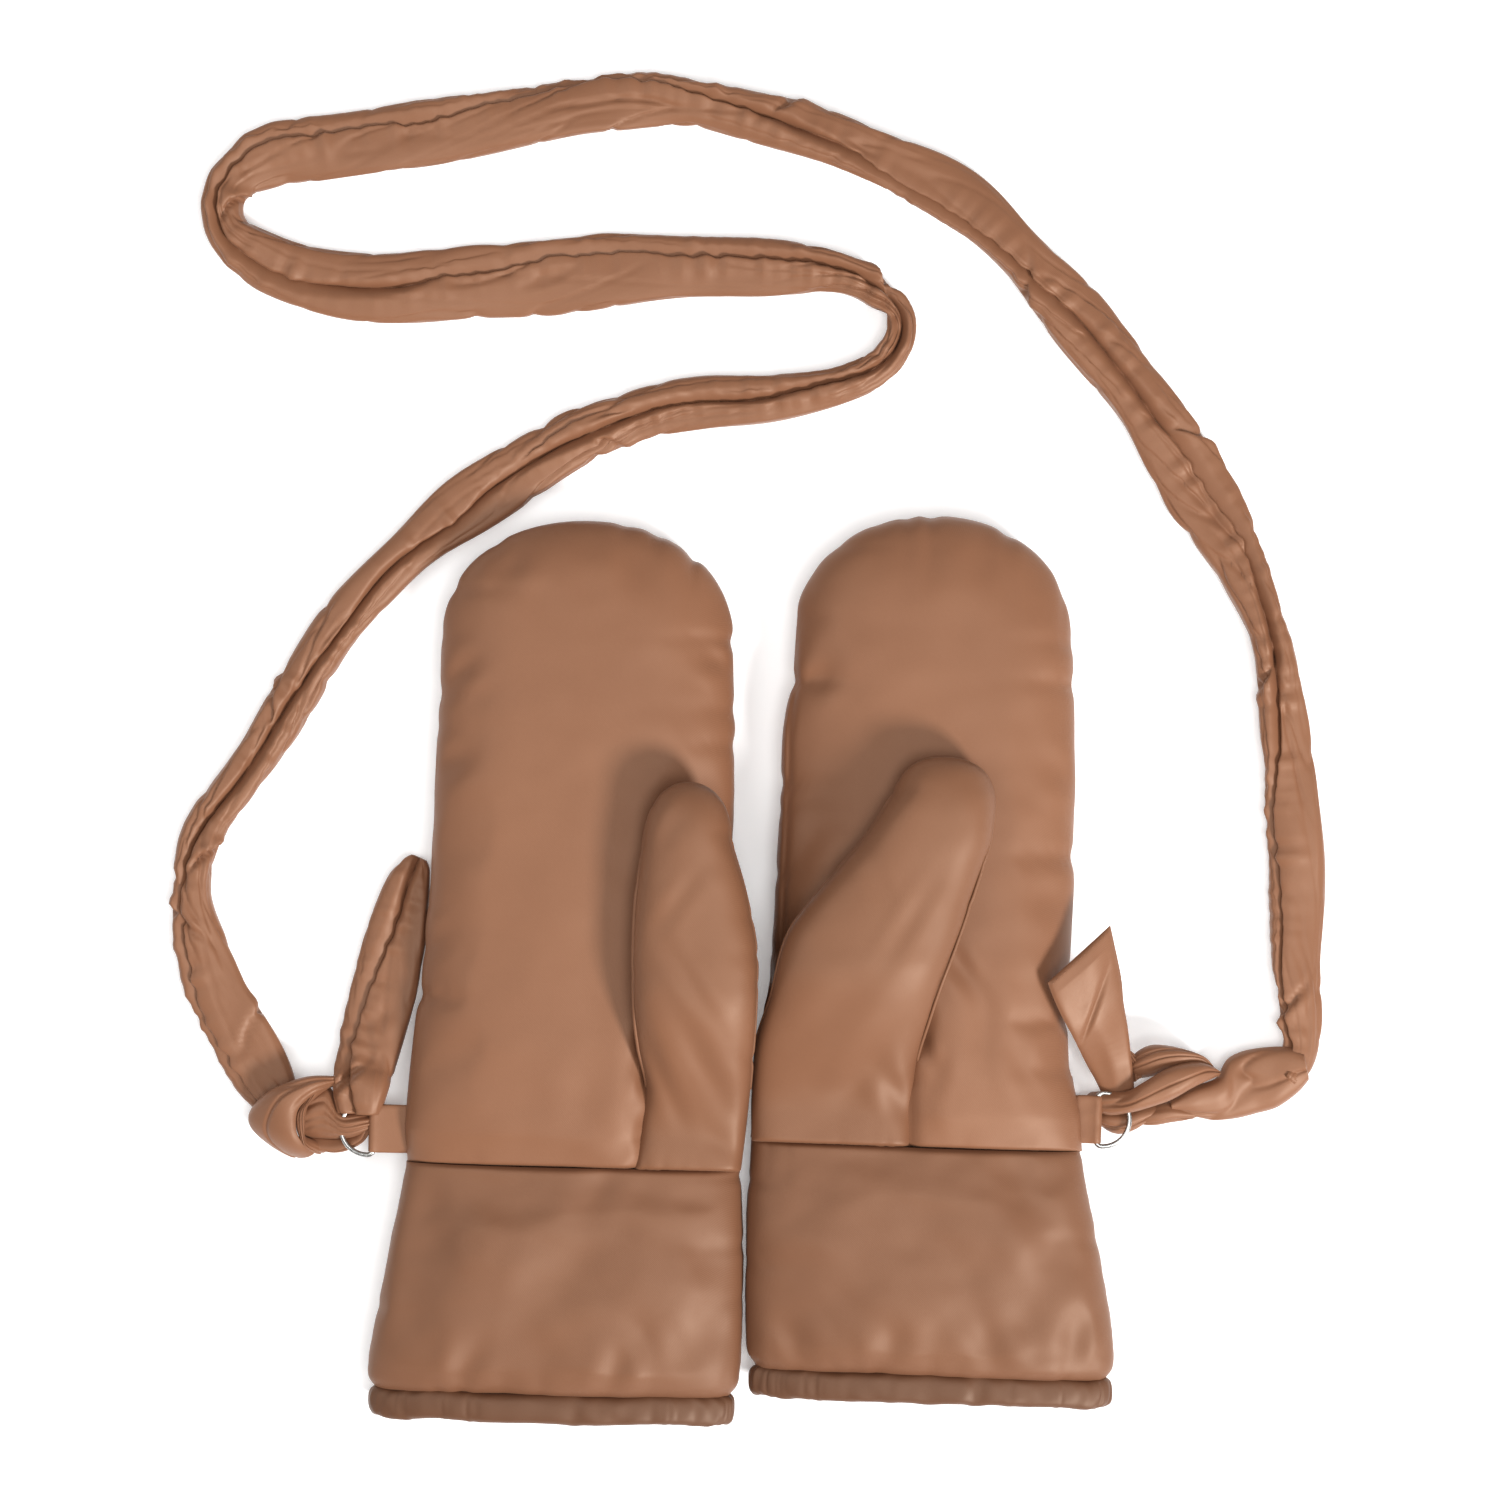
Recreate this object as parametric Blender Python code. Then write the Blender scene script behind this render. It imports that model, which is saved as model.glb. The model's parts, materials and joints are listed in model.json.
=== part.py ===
"""Pair of padded mittens joined by a soft neck strap that is knotted to a D-ring on each mitten.

The pair lies flat on its backs: +Y runs from the cuffs to the fingertips, +Z is up, and z = 0 is the
surface. Every layer of a mitten is read from one form at its own depth below the outside.
"""
import math

import bmesh
import bpy
from mathutils import Matrix, Vector

# ---- driving dimensions, metres -------------------------------------------------------------
HAND_LENGTH = 0.251          # cuff seam to fingertip
HAND_HALF_WIDTH = 0.0585     # at the palm
SEAM_HALF_WIDTH = 0.0670     # at the cuff seam
TIP_LENGTH = 0.050           # rounded part of the fingertip
HAND_THICKNESS = 0.034
SEAM_THICKNESS = 0.030
CUFF_LENGTH = 0.092
HEM_HALF_WIDTH = 0.0740
HEM_THICKNESS = 0.027
HEM_HEIGHT = 0.0110
CUFF_FLARE = 0.0085          # how far the hem's centre swings away from the thumb's side
HEEL_SHARE = 0.45            # of the way up to the rounded tip, where the palm's heel is
KNUCKLE_SHARE = 0.75         # of the same way, where the hand has its own half width
CROTCH_EXTRA = 0.0015        # half width beyond the mean of seam and hand, at the crotch
HEEL_EXTRA = 0.002
FINGER_NARROWING = 0.002     # off the half width where the rounded tip starts
FINGER_THINNING = 0.001
REST_SAG = 0.002             # how far the underside is flattened by its rest

SHELL_PLY = 0.0012
WADDING = 0.0060
LINING_PLY = 0.0010
HEM_PLY = 0.0010
CLEARANCE = 0.0003           # between neighbouring pieces
LAYER_CLEARANCE = 0.0006     # between a mitten's layers
END_GAP = 0.0008             # between a knot and the strap's ends

THUMB_THICKNESS = 0.0270
CROTCH_Y = 0.0330            # from the cuff seam up to the thumb's crotch
ROOT_END_Y = 0.0050          # where the thumb root ends inside the hand
ROOT_EXTRA = 0.004           # how much further the root's inner side reaches at its end
ROOT_LOW_SHARE = 0.15        # of the hand's height there
ROOT_HIGH_SHARE = 0.96

TAB_WIDTH = 0.0180
TAB_THICKNESS = 0.0026
TAB_Y = 0.0125               # tab's middle, above the cuff seam
TAB_TUCK = 0.006             # how far the tab goes in past the side seam, before it is cut back
RING_WIRE_RADIUS = 0.0010
RING_HEIGHT = 0.0240         # along the straight bar, outside
RING_DEPTH = 0.0150          # from the bar's middle to the far side of the bow
RING_RUNNING_CLEARANCE = 0.0004
RING_BOW_POWER = 0.7         # below 1 the bow is fuller than a half ellipse

STRAP_WIDTH = 0.0260
STRAP_THICKNESS = 0.0125
TAIL_WIDTH = 0.0240
TAIL_THICKNESS = 0.0100
KNOT_HALF_HEIGHT = 0.0125
STRAP_POINTS = 78
TAIL_POINTS = 8

SECTION_POWER = 2.6          # how square a padded section is
ARC_STEPS = 8                # along half of a section
TIP_RINGS = 4                # along a rounded tip
TIP_LAST_TURN = math.radians(80)
RING_STEPS = 16              # along the D-ring's bow
BORE_SIDES = 20
TUBE_RESOLUTION = 2
KNOT_SIDES = 20
KNOT_RINGS = 12
ROUTE_STEPS = 20             # between two chosen points of a route
SHARP_TURN = math.radians(50)
CUTTER_MARGIN = 0.01

# ---- the two mittens as they lie, metres ------------------------------------------------------
LEFT_RING = Vector((-0.1440, -0.0605, 0.0))      # middle of the ring's straight bar
RIGHT_RING = Vector((0.1450, -0.0570, 0.0))
LEFT_LEAN = math.radians(-1.4)
RIGHT_LEAN = math.radians(-2.1)
LEFT_TAB_LENGTH = 0.0140                         # from the side seam to the bar
RIGHT_TAB_LENGTH = 0.0056
# thumb outlines: height above the cuff seam, outer side, inner side
LEFT_THUMB = [(CROTCH_Y, 0.0702, 0.0283), (0.064, 0.0710, 0.0218), (0.104, 0.0665, 0.0217),
              (0.128, 0.0603, 0.0243)]
LEFT_THUMB_TIP = 0.0220
RIGHT_THUMB = [(CROTCH_Y, 0.0660, 0.0013), (0.058, 0.0609, -0.0059), (0.086, 0.0540, -0.0140),
               (0.114, 0.0330, -0.0234), (0.138, 0.0159, -0.0253)]
RIGHT_THUMB_TIP = 0.0150
LEFT_KNOT = Vector((-0.1715, -0.0540, KNOT_HALF_HEIGHT))
LEFT_KNOT_HALF = (0.0240, 0.0152, KNOT_HALF_HEIGHT)
RIGHT_KNOT = Vector((0.1730, -0.0450, KNOT_HALF_HEIGHT))
RIGHT_KNOT_HALF = (0.0245, 0.0165, KNOT_HALF_HEIGHT)

# ---- materials ------------------------------------------------------------------------------
MATERIALS = {
    "satin": ((0.367, 0.178, 0.105), 0.42, 0.0),
    "wadding": ((0.80, 0.78, 0.74), 0.95, 0.0),
    "lining": ((0.25, 0.12, 0.07), 0.60, 0.0),
    "nickel": ((0.72, 0.70, 0.67), 0.25, 1.0),
}


def material(name):
    if name in bpy.data.materials:
        return bpy.data.materials[name]
    colour, roughness, metallic = MATERIALS[name]
    made = bpy.data.materials.new(name)
    made.use_nodes = True
    shader = made.node_tree.nodes["Principled BSDF"]
    shader.inputs["Base Color"].default_value = (*colour, 1.0)
    shader.inputs["Roughness"].default_value = roughness
    shader.inputs["Metallic"].default_value = metallic
    return made


def add_object(name, data, surface, parent):
    """Put a mesh or curve in the scene as one named piece."""
    piece = bpy.data.objects.new(name, data)
    data.materials.append(material(surface))
    bpy.context.collection.objects.link(piece)
    piece.parent = parent
    return piece


def finish_mesh(bm, name):
    """Close a bmesh into a mesh with outward faces, round where it is round."""
    bmesh.ops.recalc_face_normals(bm, faces=bm.faces)
    mesh = bpy.data.meshes.new(name)
    bm.to_mesh(mesh)
    bm.free()
    mesh.shade_smooth()
    mesh.set_sharp_from_angle(angle=SHARP_TURN)
    return mesh


# ---- padded forms ---------------------------------------------------------------------------
class Station:
    """One cross-section of a padded form: where it is, its sides and its lowest and highest point."""

    def __init__(self, y, left, right, low, high):
        self.y = y
        self.left = left
        self.right = right
        self.low = low
        self.high = high


def section_point(station, angle, depth, seam_gap=0.0, shrink=1.0, lift=0.0):
    """A point on a section's outline, `depth` inside the outside of the form.

    angle 0 is the right side, 90 degrees the top. The underside is flattened where it rests.
    """
    centre_x = (station.left + station.right) / 2
    half_x = (station.right - station.left) / 2 - depth
    centre_z = (station.low + station.high) / 2
    half_z = (station.high - station.low) / 2 - depth - seam_gap
    power = 2 / SECTION_POWER
    c, s = math.cos(angle), math.sin(angle)
    along = math.copysign(abs(c) ** power, c) * half_x * shrink
    if s >= 0:
        up = centre_z + seam_gap + half_z * shrink * s ** power
    else:
        up = centre_z - seam_gap - (half_z + REST_SAG) * shrink * (-s) ** power
        up = max(up, station.low + depth)
    return Vector((centre_x + along, station.y + lift, up))


def arc(start, end):
    return [start + (end - start) * i / ARC_STEPS for i in range(ARC_STEPS + 1)]


def tip_steps():
    """Angles from the last full section up to the closed tip."""
    return [TIP_LAST_TURN * i / TIP_RINGS for i in range(1, TIP_RINGS + 1)]


def outline_rows(stations, angles, depth, seam_gap, tip_length):
    """Rows of points up the form; a rounded tip follows the last station when it has a length."""
    rows = [[section_point(s, a, depth, seam_gap) for a in angles] for s in stations]
    if tip_length:
        for turn in tip_steps():
            shrink = math.cos(turn) ** (2 / SECTION_POWER)
            lift = (tip_length - depth) * math.sin(turn) ** (2 / SECTION_POWER)
            last = stations[-1]
            rows.append([section_point(last, a, depth, seam_gap, shrink, lift) for a in angles])
    return rows


def skin(bm, rows, closed):
    """Join rows of new vertices with quads."""
    grid = [[bm.verts.new(p) for p in row] for row in rows]
    for lower, upper in zip(grid, grid[1:]):
        count = len(lower)
        for i in range(count if closed else count - 1):
            j = (i + 1) % count
            bm.faces.new((lower[i], lower[j], upper[j], upper[i]))
    return grid


def half_layer(name, stations, outer, inner, side, surface, parent, tip_length=0.0):
    """The palm side (side = 1) or back side (-1) of one layer, between two depths."""
    angles = arc(0.0, math.pi) if side > 0 else arc(0.0, -math.pi)
    gap = CLEARANCE / 2
    bm = bmesh.new()
    out = skin(bm, outline_rows(stations, angles, outer, gap, tip_length), False)
    ins = skin(bm, outline_rows(stations, angles, inner, gap, tip_length), False)
    for k in range(len(out) - 1):
        for end in (0, -1):
            bm.faces.new((out[k][end], out[k + 1][end], ins[k + 1][end], ins[k][end]))
    for i in range(len(angles) - 1):
        bm.faces.new((out[0][i], out[0][i + 1], ins[0][i + 1], ins[0][i]))
    if tip_length:
        bm.faces.new(out[-1])
        bm.faces.new(ins[-1])
        bm.faces.new((out[-1][0], out[-1][-1], ins[-1][-1], ins[-1][0]))
    else:
        for i in range(len(angles) - 1):
            bm.faces.new((out[-1][i], out[-1][i + 1], ins[-1][i + 1], ins[-1][i]))
    return add_object(name, finish_mesh(bm, name), surface, parent)


def ring_layer(name, stations, outer, inner, surface, parent, tip_length=0.0):
    """A layer that goes all the way round, as a tube or as a sock with a closed tip."""
    angles = [2 * math.pi * i / (2 * ARC_STEPS) for i in range(2 * ARC_STEPS)]
    bm = bmesh.new()
    out = skin(bm, outline_rows(stations, angles, outer, 0.0, tip_length), True)
    ins = skin(bm, outline_rows(stations, angles, inner, 0.0, tip_length), True)
    ends = [0] if tip_length else [0, -1]
    for k in ends:
        for i in range(len(angles)):
            j = (i + 1) % len(angles)
            bm.faces.new((out[k][i], out[k][j], ins[k][j], ins[k][i]))
    if tip_length:
        bm.faces.new(out[-1])
        bm.faces.new(ins[-1])
    return add_object(name, finish_mesh(bm, name), surface, parent)


def as_cutter(piece):
    """Only a tool for cutting other pieces: it is left out of the object."""
    piece.hide_render = True
    piece.display_type = "WIRE"
    return piece


def solid_form(name, stations, depth, parent):
    """The whole form as a cutter."""
    angles = [2 * math.pi * i / (2 * ARC_STEPS) for i in range(2 * ARC_STEPS)]
    bm = bmesh.new()
    rows = skin(bm, outline_rows(stations, angles, depth, 0.0, 0.0), True)
    bm.faces.new(rows[0])
    bm.faces.new(rows[-1])
    return as_cutter(add_object(name, finish_mesh(bm, name), "lining", parent))


def under_palm(name, stations, parent):
    """A cutter that fills the hand below the palm lining, and all that is under the side seams."""
    bm = bmesh.new()
    rows = []
    for at in stations:
        row = [section_point(at, a, LINING[1], CLEARANCE) for a in arc(0.0, math.pi)]
        seam_z = row[0].z
        left, right = at.left - CUTTER_MARGIN, at.right + CUTTER_MARGIN
        below = at.low - CUTTER_MARGIN
        for x, z in ((left, seam_z), (left, below), (right, below), (right, seam_z)):
            row.append(Vector((x, at.y, z)))
        rows.append(row)
    grid = skin(bm, rows, True)
    bm.faces.new(grid[0])
    bm.faces.new(grid[-1])
    return as_cutter(add_object(name, finish_mesh(bm, name), "lining", parent))


def cut(piece, cutter):
    boolean = piece.modifiers.new("cut_" + cutter.name, "BOOLEAN")
    boolean.operation = "DIFFERENCE"
    boolean.solver = "EXACT"
    boolean.object = cutter


# Depths of the layers' faces below the outside of the form.
SHELL = (0.0, SHELL_PLY)
WADDING_LAYER = (SHELL[1] + LAYER_CLEARANCE, SHELL[1] + LAYER_CLEARANCE + WADDING)
LINING = (WADDING_LAYER[1] + LAYER_CLEARANCE, WADDING_LAYER[1] + LAYER_CLEARANCE + LINING_PLY)


# ---- one mitten -----------------------------------------------------------------------------
def frame_empty(name, place, parent=None, turn=0.0):
    """An empty that carries pieces; a joint's empty lies on the joint's axis."""
    empty = bpy.data.objects.new(name, None)
    bpy.context.collection.objects.link(empty)
    empty.parent = parent
    empty.location = place
    empty.rotation_euler.z = turn
    return empty


def mitten(side, mirror, ring_place, lean, tab_length, thumb_outline, thumb_tip):
    """One mitten, hung from its ring's straight bar. The thumb is towards +X * mirror.

    Inside the mitten's own frame the middle of the cuff seam is the origin. Gives the bar's place.
    """
    def station(y, half_width, thickness, centre=0.0):
        middle = centre * mirror
        return Station(y, middle - half_width, middle + half_width, 0.0, thickness)

    palm_y = HAND_LENGTH - TIP_LENGTH
    hand = [
        station(CLEARANCE / 2, SEAM_HALF_WIDTH, SEAM_THICKNESS),
        station(CROTCH_Y, (SEAM_HALF_WIDTH + HAND_HALF_WIDTH) / 2 + CROTCH_EXTRA, HAND_THICKNESS),
        station(palm_y * HEEL_SHARE, HAND_HALF_WIDTH + HEEL_EXTRA, HAND_THICKNESS),
        station(palm_y * KNUCKLE_SHARE, HAND_HALF_WIDTH, HAND_THICKNESS),
        station(palm_y, HAND_HALF_WIDTH - FINGER_NARROWING, HAND_THICKNESS - FINGER_THINNING),
    ]
    cuff_top = station(-CLEARANCE / 2, SEAM_HALF_WIDTH, SEAM_THICKNESS)
    cuff_middle = station(-CUFF_LENGTH / 2, (SEAM_HALF_WIDTH + HEM_HALF_WIDTH) / 2,
                          SEAM_THICKNESS, -CUFF_FLARE / 2)
    hem_top = station(-CUFF_LENGTH, HEM_HALF_WIDTH, HEM_THICKNESS, -CUFF_FLARE)
    hem_end = station(-CUFF_LENGTH - HEM_HEIGHT, HEM_HALF_WIDTH, HEM_THICKNESS, -CUFF_FLARE)
    inner_end = station(hem_end.y + HEM_PLY + CLEARANCE, HEM_HALF_WIDTH, HEM_THICKNESS, -CUFF_FLARE)
    cuff = [hem_top, cuff_middle, cuff_top]
    padded_cuff = [inner_end] + cuff

    tab_edge = at_height(hand, TAB_Y)
    bar = Vector((-mirror * (tab_edge.right + tab_length), TAB_Y, tab_edge.high / 2))
    hinge = frame_empty(side + "_ring_hinge", ring_place + Vector((0, 0, bar.z)), turn=lean)
    body = frame_empty(side + "_mitten_frame", -bar, hinge)

    cut_by_root = []
    for half, sign in (("palm", 1), ("back", -1)):
        name = f"{side}_hand_{half}"
        shell = half_layer(name + "_shell", hand, *SHELL, sign, "satin", body, TIP_LENGTH)
        pad = half_layer(name + "_wadding", hand, *WADDING_LAYER, sign, "wadding", body, TIP_LENGTH)
        lining = half_layer(f"{side}_{half}_lining", cuff[:-1] + hand, *LINING, sign, "lining",
                            body, TIP_LENGTH)
        half_layer(f"{side}_cuff_{half}_shell", cuff, *SHELL, sign, "satin", body)
        half_layer(f"{side}_cuff_{half}_wadding", padded_cuff, *WADDING_LAYER, sign, "wadding", body)
        if sign > 0:
            cut_by_root = [shell, pad, lining]

    hem_binding(side, hem_top, hem_end, body)
    thumb_pieces(side, mirror, thumb_outline, thumb_tip, hand, cut_by_root, body)
    ring_tab(side, mirror, bar, hand, body)
    d_ring(side, mirror, hinge.location, lean)
    return hinge.location


def at_height(stations, y):
    """The section at height y, between two of the stations."""
    for low, high in zip(stations, stations[1:]):
        if low.y <= y <= high.y:
            t = (y - low.y) / (high.y - low.y)
            return Station(y, *(getattr(low, k) * (1 - t) + getattr(high, k) * t
                                for k in ("left", "right", "low", "high")))
    return stations[0]


def hem_binding(side, top, end, parent):
    """A folded band around the cuff's mouth: a channel that opens upwards over the padding."""
    top_y = top.y - CLEARANCE
    floor_y = end.y + HEM_PLY
    inner_wall = LINING[0]
    profile = [(top_y, 0.0), (end.y, 0.0), (end.y, LINING[1]), (top_y, LINING[1]),
               (top_y, inner_wall), (floor_y, inner_wall), (floor_y, HEM_PLY), (top_y, HEM_PLY)]
    angles = [math.pi * i / ARC_STEPS for i in range(2 * ARC_STEPS)]
    bm = bmesh.new()
    rows = []
    for y, depth in profile + profile[:1]:
        at = Station(y, end.left, end.right, end.low, end.high)
        rows.append([section_point(at, a, depth) for a in angles])
    skin(bm, rows, True)
    bmesh.ops.remove_doubles(bm, verts=bm.verts, dist=1e-6)
    name = side + "_hem_binding"
    return add_object(name, finish_mesh(bm, name), "satin", parent)


def thumb_pieces(side, mirror, outline, tip_length, hand, cut_by_root, body):
    """The thumb root that goes through the palm, and the thumb that bends at the crotch."""
    low = HAND_THICKNESS + 2 * CLEARANCE
    high = low + THUMB_THICKNESS

    def station(y, outer, inner, bottom=low, top=high):
        left, right = sorted((outer * mirror, inner * mirror))
        return Station(y, left, right, bottom, top)

    crotch_outer, crotch_inner = outline[0][1:]
    base = at_height(hand, ROOT_END_Y)
    end_outer = base.right - LINING[1]
    end_inner = crotch_inner - ROOT_EXTRA
    end = (end_outer, end_inner, base.high * ROOT_LOW_SHARE, base.high * ROOT_HIGH_SHARE)
    start = (crotch_outer, crotch_inner, low, high)
    half_way = [(a + b) / 2 for a, b in zip(start, end)]
    middle_y = (CROTCH_Y + ROOT_END_Y) / 2
    root = [
        station(ROOT_END_Y, *end),
        station(middle_y, *half_way),
        station(CROTCH_Y - CLEARANCE / 2, *start),
    ]
    root_hole = [station(ROOT_END_Y - CLEARANCE, *end), station(middle_y, *half_way),
                 station(CROTCH_Y + CLEARANCE, *start)]
    hole = solid_form(side + "_root_hole", root_hole, -CLEARANCE, body)
    for piece in cut_by_root:
        cut(piece, hole)

    under = under_palm(side + "_under_palm", hand[:3], body)
    for kind, depths, surface in (("shell", SHELL, "satin"), ("wadding", WADDING_LAYER, "wadding"),
                                  ("lining", LINING, "lining")):
        cut(ring_layer(f"{side}_thumb_root_{kind}", root, *depths, surface, body), under)

    thumb = [station(CROTCH_Y + CLEARANCE / 2, *outline[0][1:])]
    thumb += [station(*row) for row in outline[1:]]
    hinge = frame_empty(side + "_thumb_hinge",
                        (mirror * (crotch_outer + crotch_inner) / 2, CROTCH_Y, high), body)
    pieces = [
        half_layer(side + "_thumb_front_shell", thumb, *SHELL, 1, "satin", hinge, tip_length),
        half_layer(side + "_thumb_back_shell", thumb, *SHELL, -1, "satin", hinge, tip_length),
        ring_layer(side + "_thumb_wadding", thumb, *WADDING_LAYER, "wadding", hinge, tip_length),
        ring_layer(side + "_thumb_lining", thumb, *LINING, "lining", hinge, tip_length),
    ]
    for piece in pieces:
        piece.location = -hinge.location


def strip(name, centre, size, parent):
    """A flat piece of folded fabric."""
    bm = bmesh.new()
    bmesh.ops.create_cube(bm, size=1.0, matrix=Matrix.Translation(centre) @ Matrix.Diagonal((*size, 1)))
    return add_object(name, finish_mesh(bm, name), "satin", parent)


def bar_cylinder(name, radius, length, centre, parent):
    """A cutter cylinder along the ring's straight bar."""
    turn = Matrix.Rotation(math.radians(90), 4, "X")
    bm = bmesh.new()
    bmesh.ops.create_cone(bm, cap_ends=True, segments=BORE_SIDES, radius1=radius, radius2=radius,
                          depth=length, matrix=Matrix.Translation(centre) @ turn)
    return as_cutter(add_object(name, finish_mesh(bm, name), "satin", parent))


def ring_tab(side, mirror, bar, hand, body):
    """A folded fabric loop: round the ring's bar, then flat into the mitten's side seam."""
    bore = RING_WIRE_RADIUS + RING_RUNNING_CLEARANCE
    edge = -mirror * at_height(hand, TAB_Y).right
    inner_x = edge + mirror * TAB_TUCK
    centre = Vector(((bar.x + inner_x) / 2, bar.y, bar.z))
    size = Vector((abs(inner_x - bar.x), TAB_WIDTH, TAB_THICKNESS))
    tab = strip(side + "_ring_tab", centre, size, body)
    loop = bar_cylinder(side + "_tab_loop", bore + SHELL_PLY, TAB_WIDTH, bar, body)
    joined = tab.modifiers.new("loop", "BOOLEAN")
    joined.operation = "UNION"
    joined.solver = "EXACT"
    joined.object = loop
    cut(tab, bar_cylinder(side + "_tab_bore", bore, TAB_WIDTH + CUTTER_MARGIN, bar, body))
    cut(tab, solid_form(side + "_side_seam", hand[:3], -CLEARANCE, body))


def ring_path(mirror):
    """The D-ring's centre line about the middle of its straight bar."""
    half = RING_HEIGHT / 2 - RING_WIRE_RADIUS
    depth = RING_DEPTH - RING_WIRE_RADIUS
    points = []
    for i in range(RING_STEPS + 1):
        turn = math.pi * i / RING_STEPS
        out = math.sin(turn) ** RING_BOW_POWER if 0 < i < RING_STEPS else 0.0
        points.append(Vector((-mirror * depth * out, half * math.cos(turn), 0.0)))
    return points


def ring_curve(name, mirror, wire_radius):
    curve = bpy.data.curves.new(name, "CURVE")
    curve.dimensions = "3D"
    spline = curve.splines.new("POLY")
    points = ring_path(mirror)
    spline.points.add(len(points) - 1)
    for point, place in zip(spline.points, points):
        point.co = (*place, 1.0)
    spline.use_cyclic_u = True
    curve.bevel_depth = wire_radius
    curve.bevel_resolution = TUBE_RESOLUTION
    return curve


def d_ring(side, mirror, place, lean):
    """A bent nickel wire ring; its straight bar lies in the tab's loop."""
    ring = add_object(side + "_d_ring", ring_curve(side + "_d_ring", mirror, RING_WIRE_RADIUS),
                      "nickel", None)
    ring.location = place
    ring.rotation_euler.z = lean


# ---- the neck strap -------------------------------------------------------------------------
def smooth_route(points, count):
    """`count` evenly spaced points on a smooth curve through the chosen ones."""
    chosen = [Vector(p) for p in points]
    padded = [2 * chosen[0] - chosen[1]] + chosen + [2 * chosen[-1] - chosen[-2]]
    fine = []
    for a, b, c, d in zip(padded, padded[1:], padded[2:], padded[3:]):
        for step in range(ROUTE_STEPS):
            t = step / ROUTE_STEPS
            fine.append(0.5 * (2 * b + (c - a) * t + (2 * a - 5 * b + 4 * c - d) * t * t
                               + (3 * b - a - 3 * c + d) * t ** 3))
    fine.append(chosen[-1])
    travelled = [0.0]
    for a, b in zip(fine, fine[1:]):
        travelled.append(travelled[-1] + (b - a).length)
    even = []
    k = 0
    for i in range(count):
        target = travelled[-1] * i / (count - 1)
        while k < len(travelled) - 2 and travelled[k + 1] < target:
            k += 1
        t = (target - travelled[k]) / (travelled[k + 1] - travelled[k])
        even.append(fine[k].lerp(fine[k + 1], t))
    return even


def soft_tube(name, route, width, thickness):
    """A padded fabric tube that lies on its flat side; the object's scale flattens the round tube."""
    flatness = thickness / width
    curve = bpy.data.curves.new(name, "CURVE")
    curve.dimensions = "3D"
    spline = curve.splines.new("POLY")
    spline.points.add(len(route) - 1)
    for point, place in zip(spline.points, route):
        point.co = (place.x, place.y, place.z / flatness, 1.0)
    curve.bevel_depth = width / 2
    curve.bevel_resolution = TUBE_RESOLUTION
    curve.use_fill_caps = True
    piece = add_object(name, curve, "satin", None)
    piece.scale.z = flatness
    return piece


def knot(side, mirror, centre, half_size, ends, ring_place, lean):
    """A soft overhand knot on the ring's bow, cut flat where the strap and its tail leave it.

    Each of the ends is a flattened tube's first two points and its flatness, which tilts its end face.
    """
    bm = bmesh.new()
    bmesh.ops.create_uvsphere(bm, u_segments=KNOT_SIDES, v_segments=KNOT_RINGS, radius=1.0,
                              matrix=Matrix.Translation(centre) @ Matrix.Diagonal((*half_size, 1)))
    for first, second, flatness in ends:
        outward = second - first
        outward.z /= flatness ** 2
        outward.normalize()
        place = first - outward * END_GAP
        geometry = bm.verts[:] + bm.edges[:] + bm.faces[:]
        result = bmesh.ops.bisect_plane(bm, geom=geometry, plane_co=place, plane_no=outward,
                                        clear_outer=True)
        rim = [e for e in result["geom_cut"] if isinstance(e, bmesh.types.BMEdge)]
        bmesh.ops.holes_fill(bm, edges=rim, sides=0)
    name = side + "_knot"
    piece = add_object(name, finish_mesh(bm, name), "satin", None)

    curve = ring_curve(side + "_ring_way", mirror, RING_WIRE_RADIUS + CLEARANCE)
    source = bpy.data.objects.new(side + "_ring_way_curve", curve)
    mesh = bpy.data.meshes.new_from_object(source)
    bpy.data.objects.remove(source)
    way = add_object(side + "_ring_way", mesh, "nickel", None)
    way.location = ring_place
    way.rotation_euler.z = lean
    cut(piece, as_cutter(way))


# The routes are chosen by hand, in metres, along the middle of the strap.
LIE = STRAP_THICKNESS / 2
STRAP_ROUTE = [
    (-0.188, -0.040, LIE), (-0.202, -0.015, LIE), (-0.213, 0.008, LIE), (-0.218, 0.032, LIE),
    (-0.214, 0.056, LIE), (-0.198, 0.080, LIE), (-0.178, 0.111, LIE), (-0.157, 0.143, LIE),
    (-0.133, 0.169, LIE), (-0.108, 0.189, LIE), (-0.085, 0.204, LIE), (-0.062, 0.217, LIE),
    (-0.037, 0.226, LIE), (-0.013, 0.230, LIE), (0.014, 0.232, LIE), (0.040, 0.237, LIE),
    (0.060, 0.248, LIE), (0.068, 0.265, LIE), (0.060, 0.280, LIE), (0.040, 0.285, LIE),
    (0.000, 0.285, LIE), (-0.054, 0.284, LIE), (-0.100, 0.280, LIE), (-0.138, 0.277, LIE),
    (-0.165, 0.279, LIE), (-0.188, 0.287, LIE), (-0.204, 0.300, LIE), (-0.204, 0.317, LIE),
    (-0.188, 0.329, LIE), (-0.160, 0.334, LIE), (-0.118, 0.340, LIE), (-0.080, 0.346, LIE),
    (-0.046, 0.352, LIE), (-0.012, 0.350, LIE), (0.026, 0.341, LIE), (0.062, 0.328, LIE),
    (0.094, 0.311, LIE), (0.118, 0.288, LIE), (0.144, 0.258, LIE), (0.166, 0.229, LIE),
    (0.187, 0.195, LIE), (0.204, 0.166, LIE), (0.216, 0.134, LIE), (0.222, 0.096, LIE),
    (0.226, 0.060, LIE), (0.228, 0.024, LIE), (0.227, -0.004, LIE), (0.223, -0.026, LIE),
    (0.213, -0.041, LIE), (0.198, -0.047, LIE),
]
REST = TAIL_THICKNESS / 2
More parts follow.
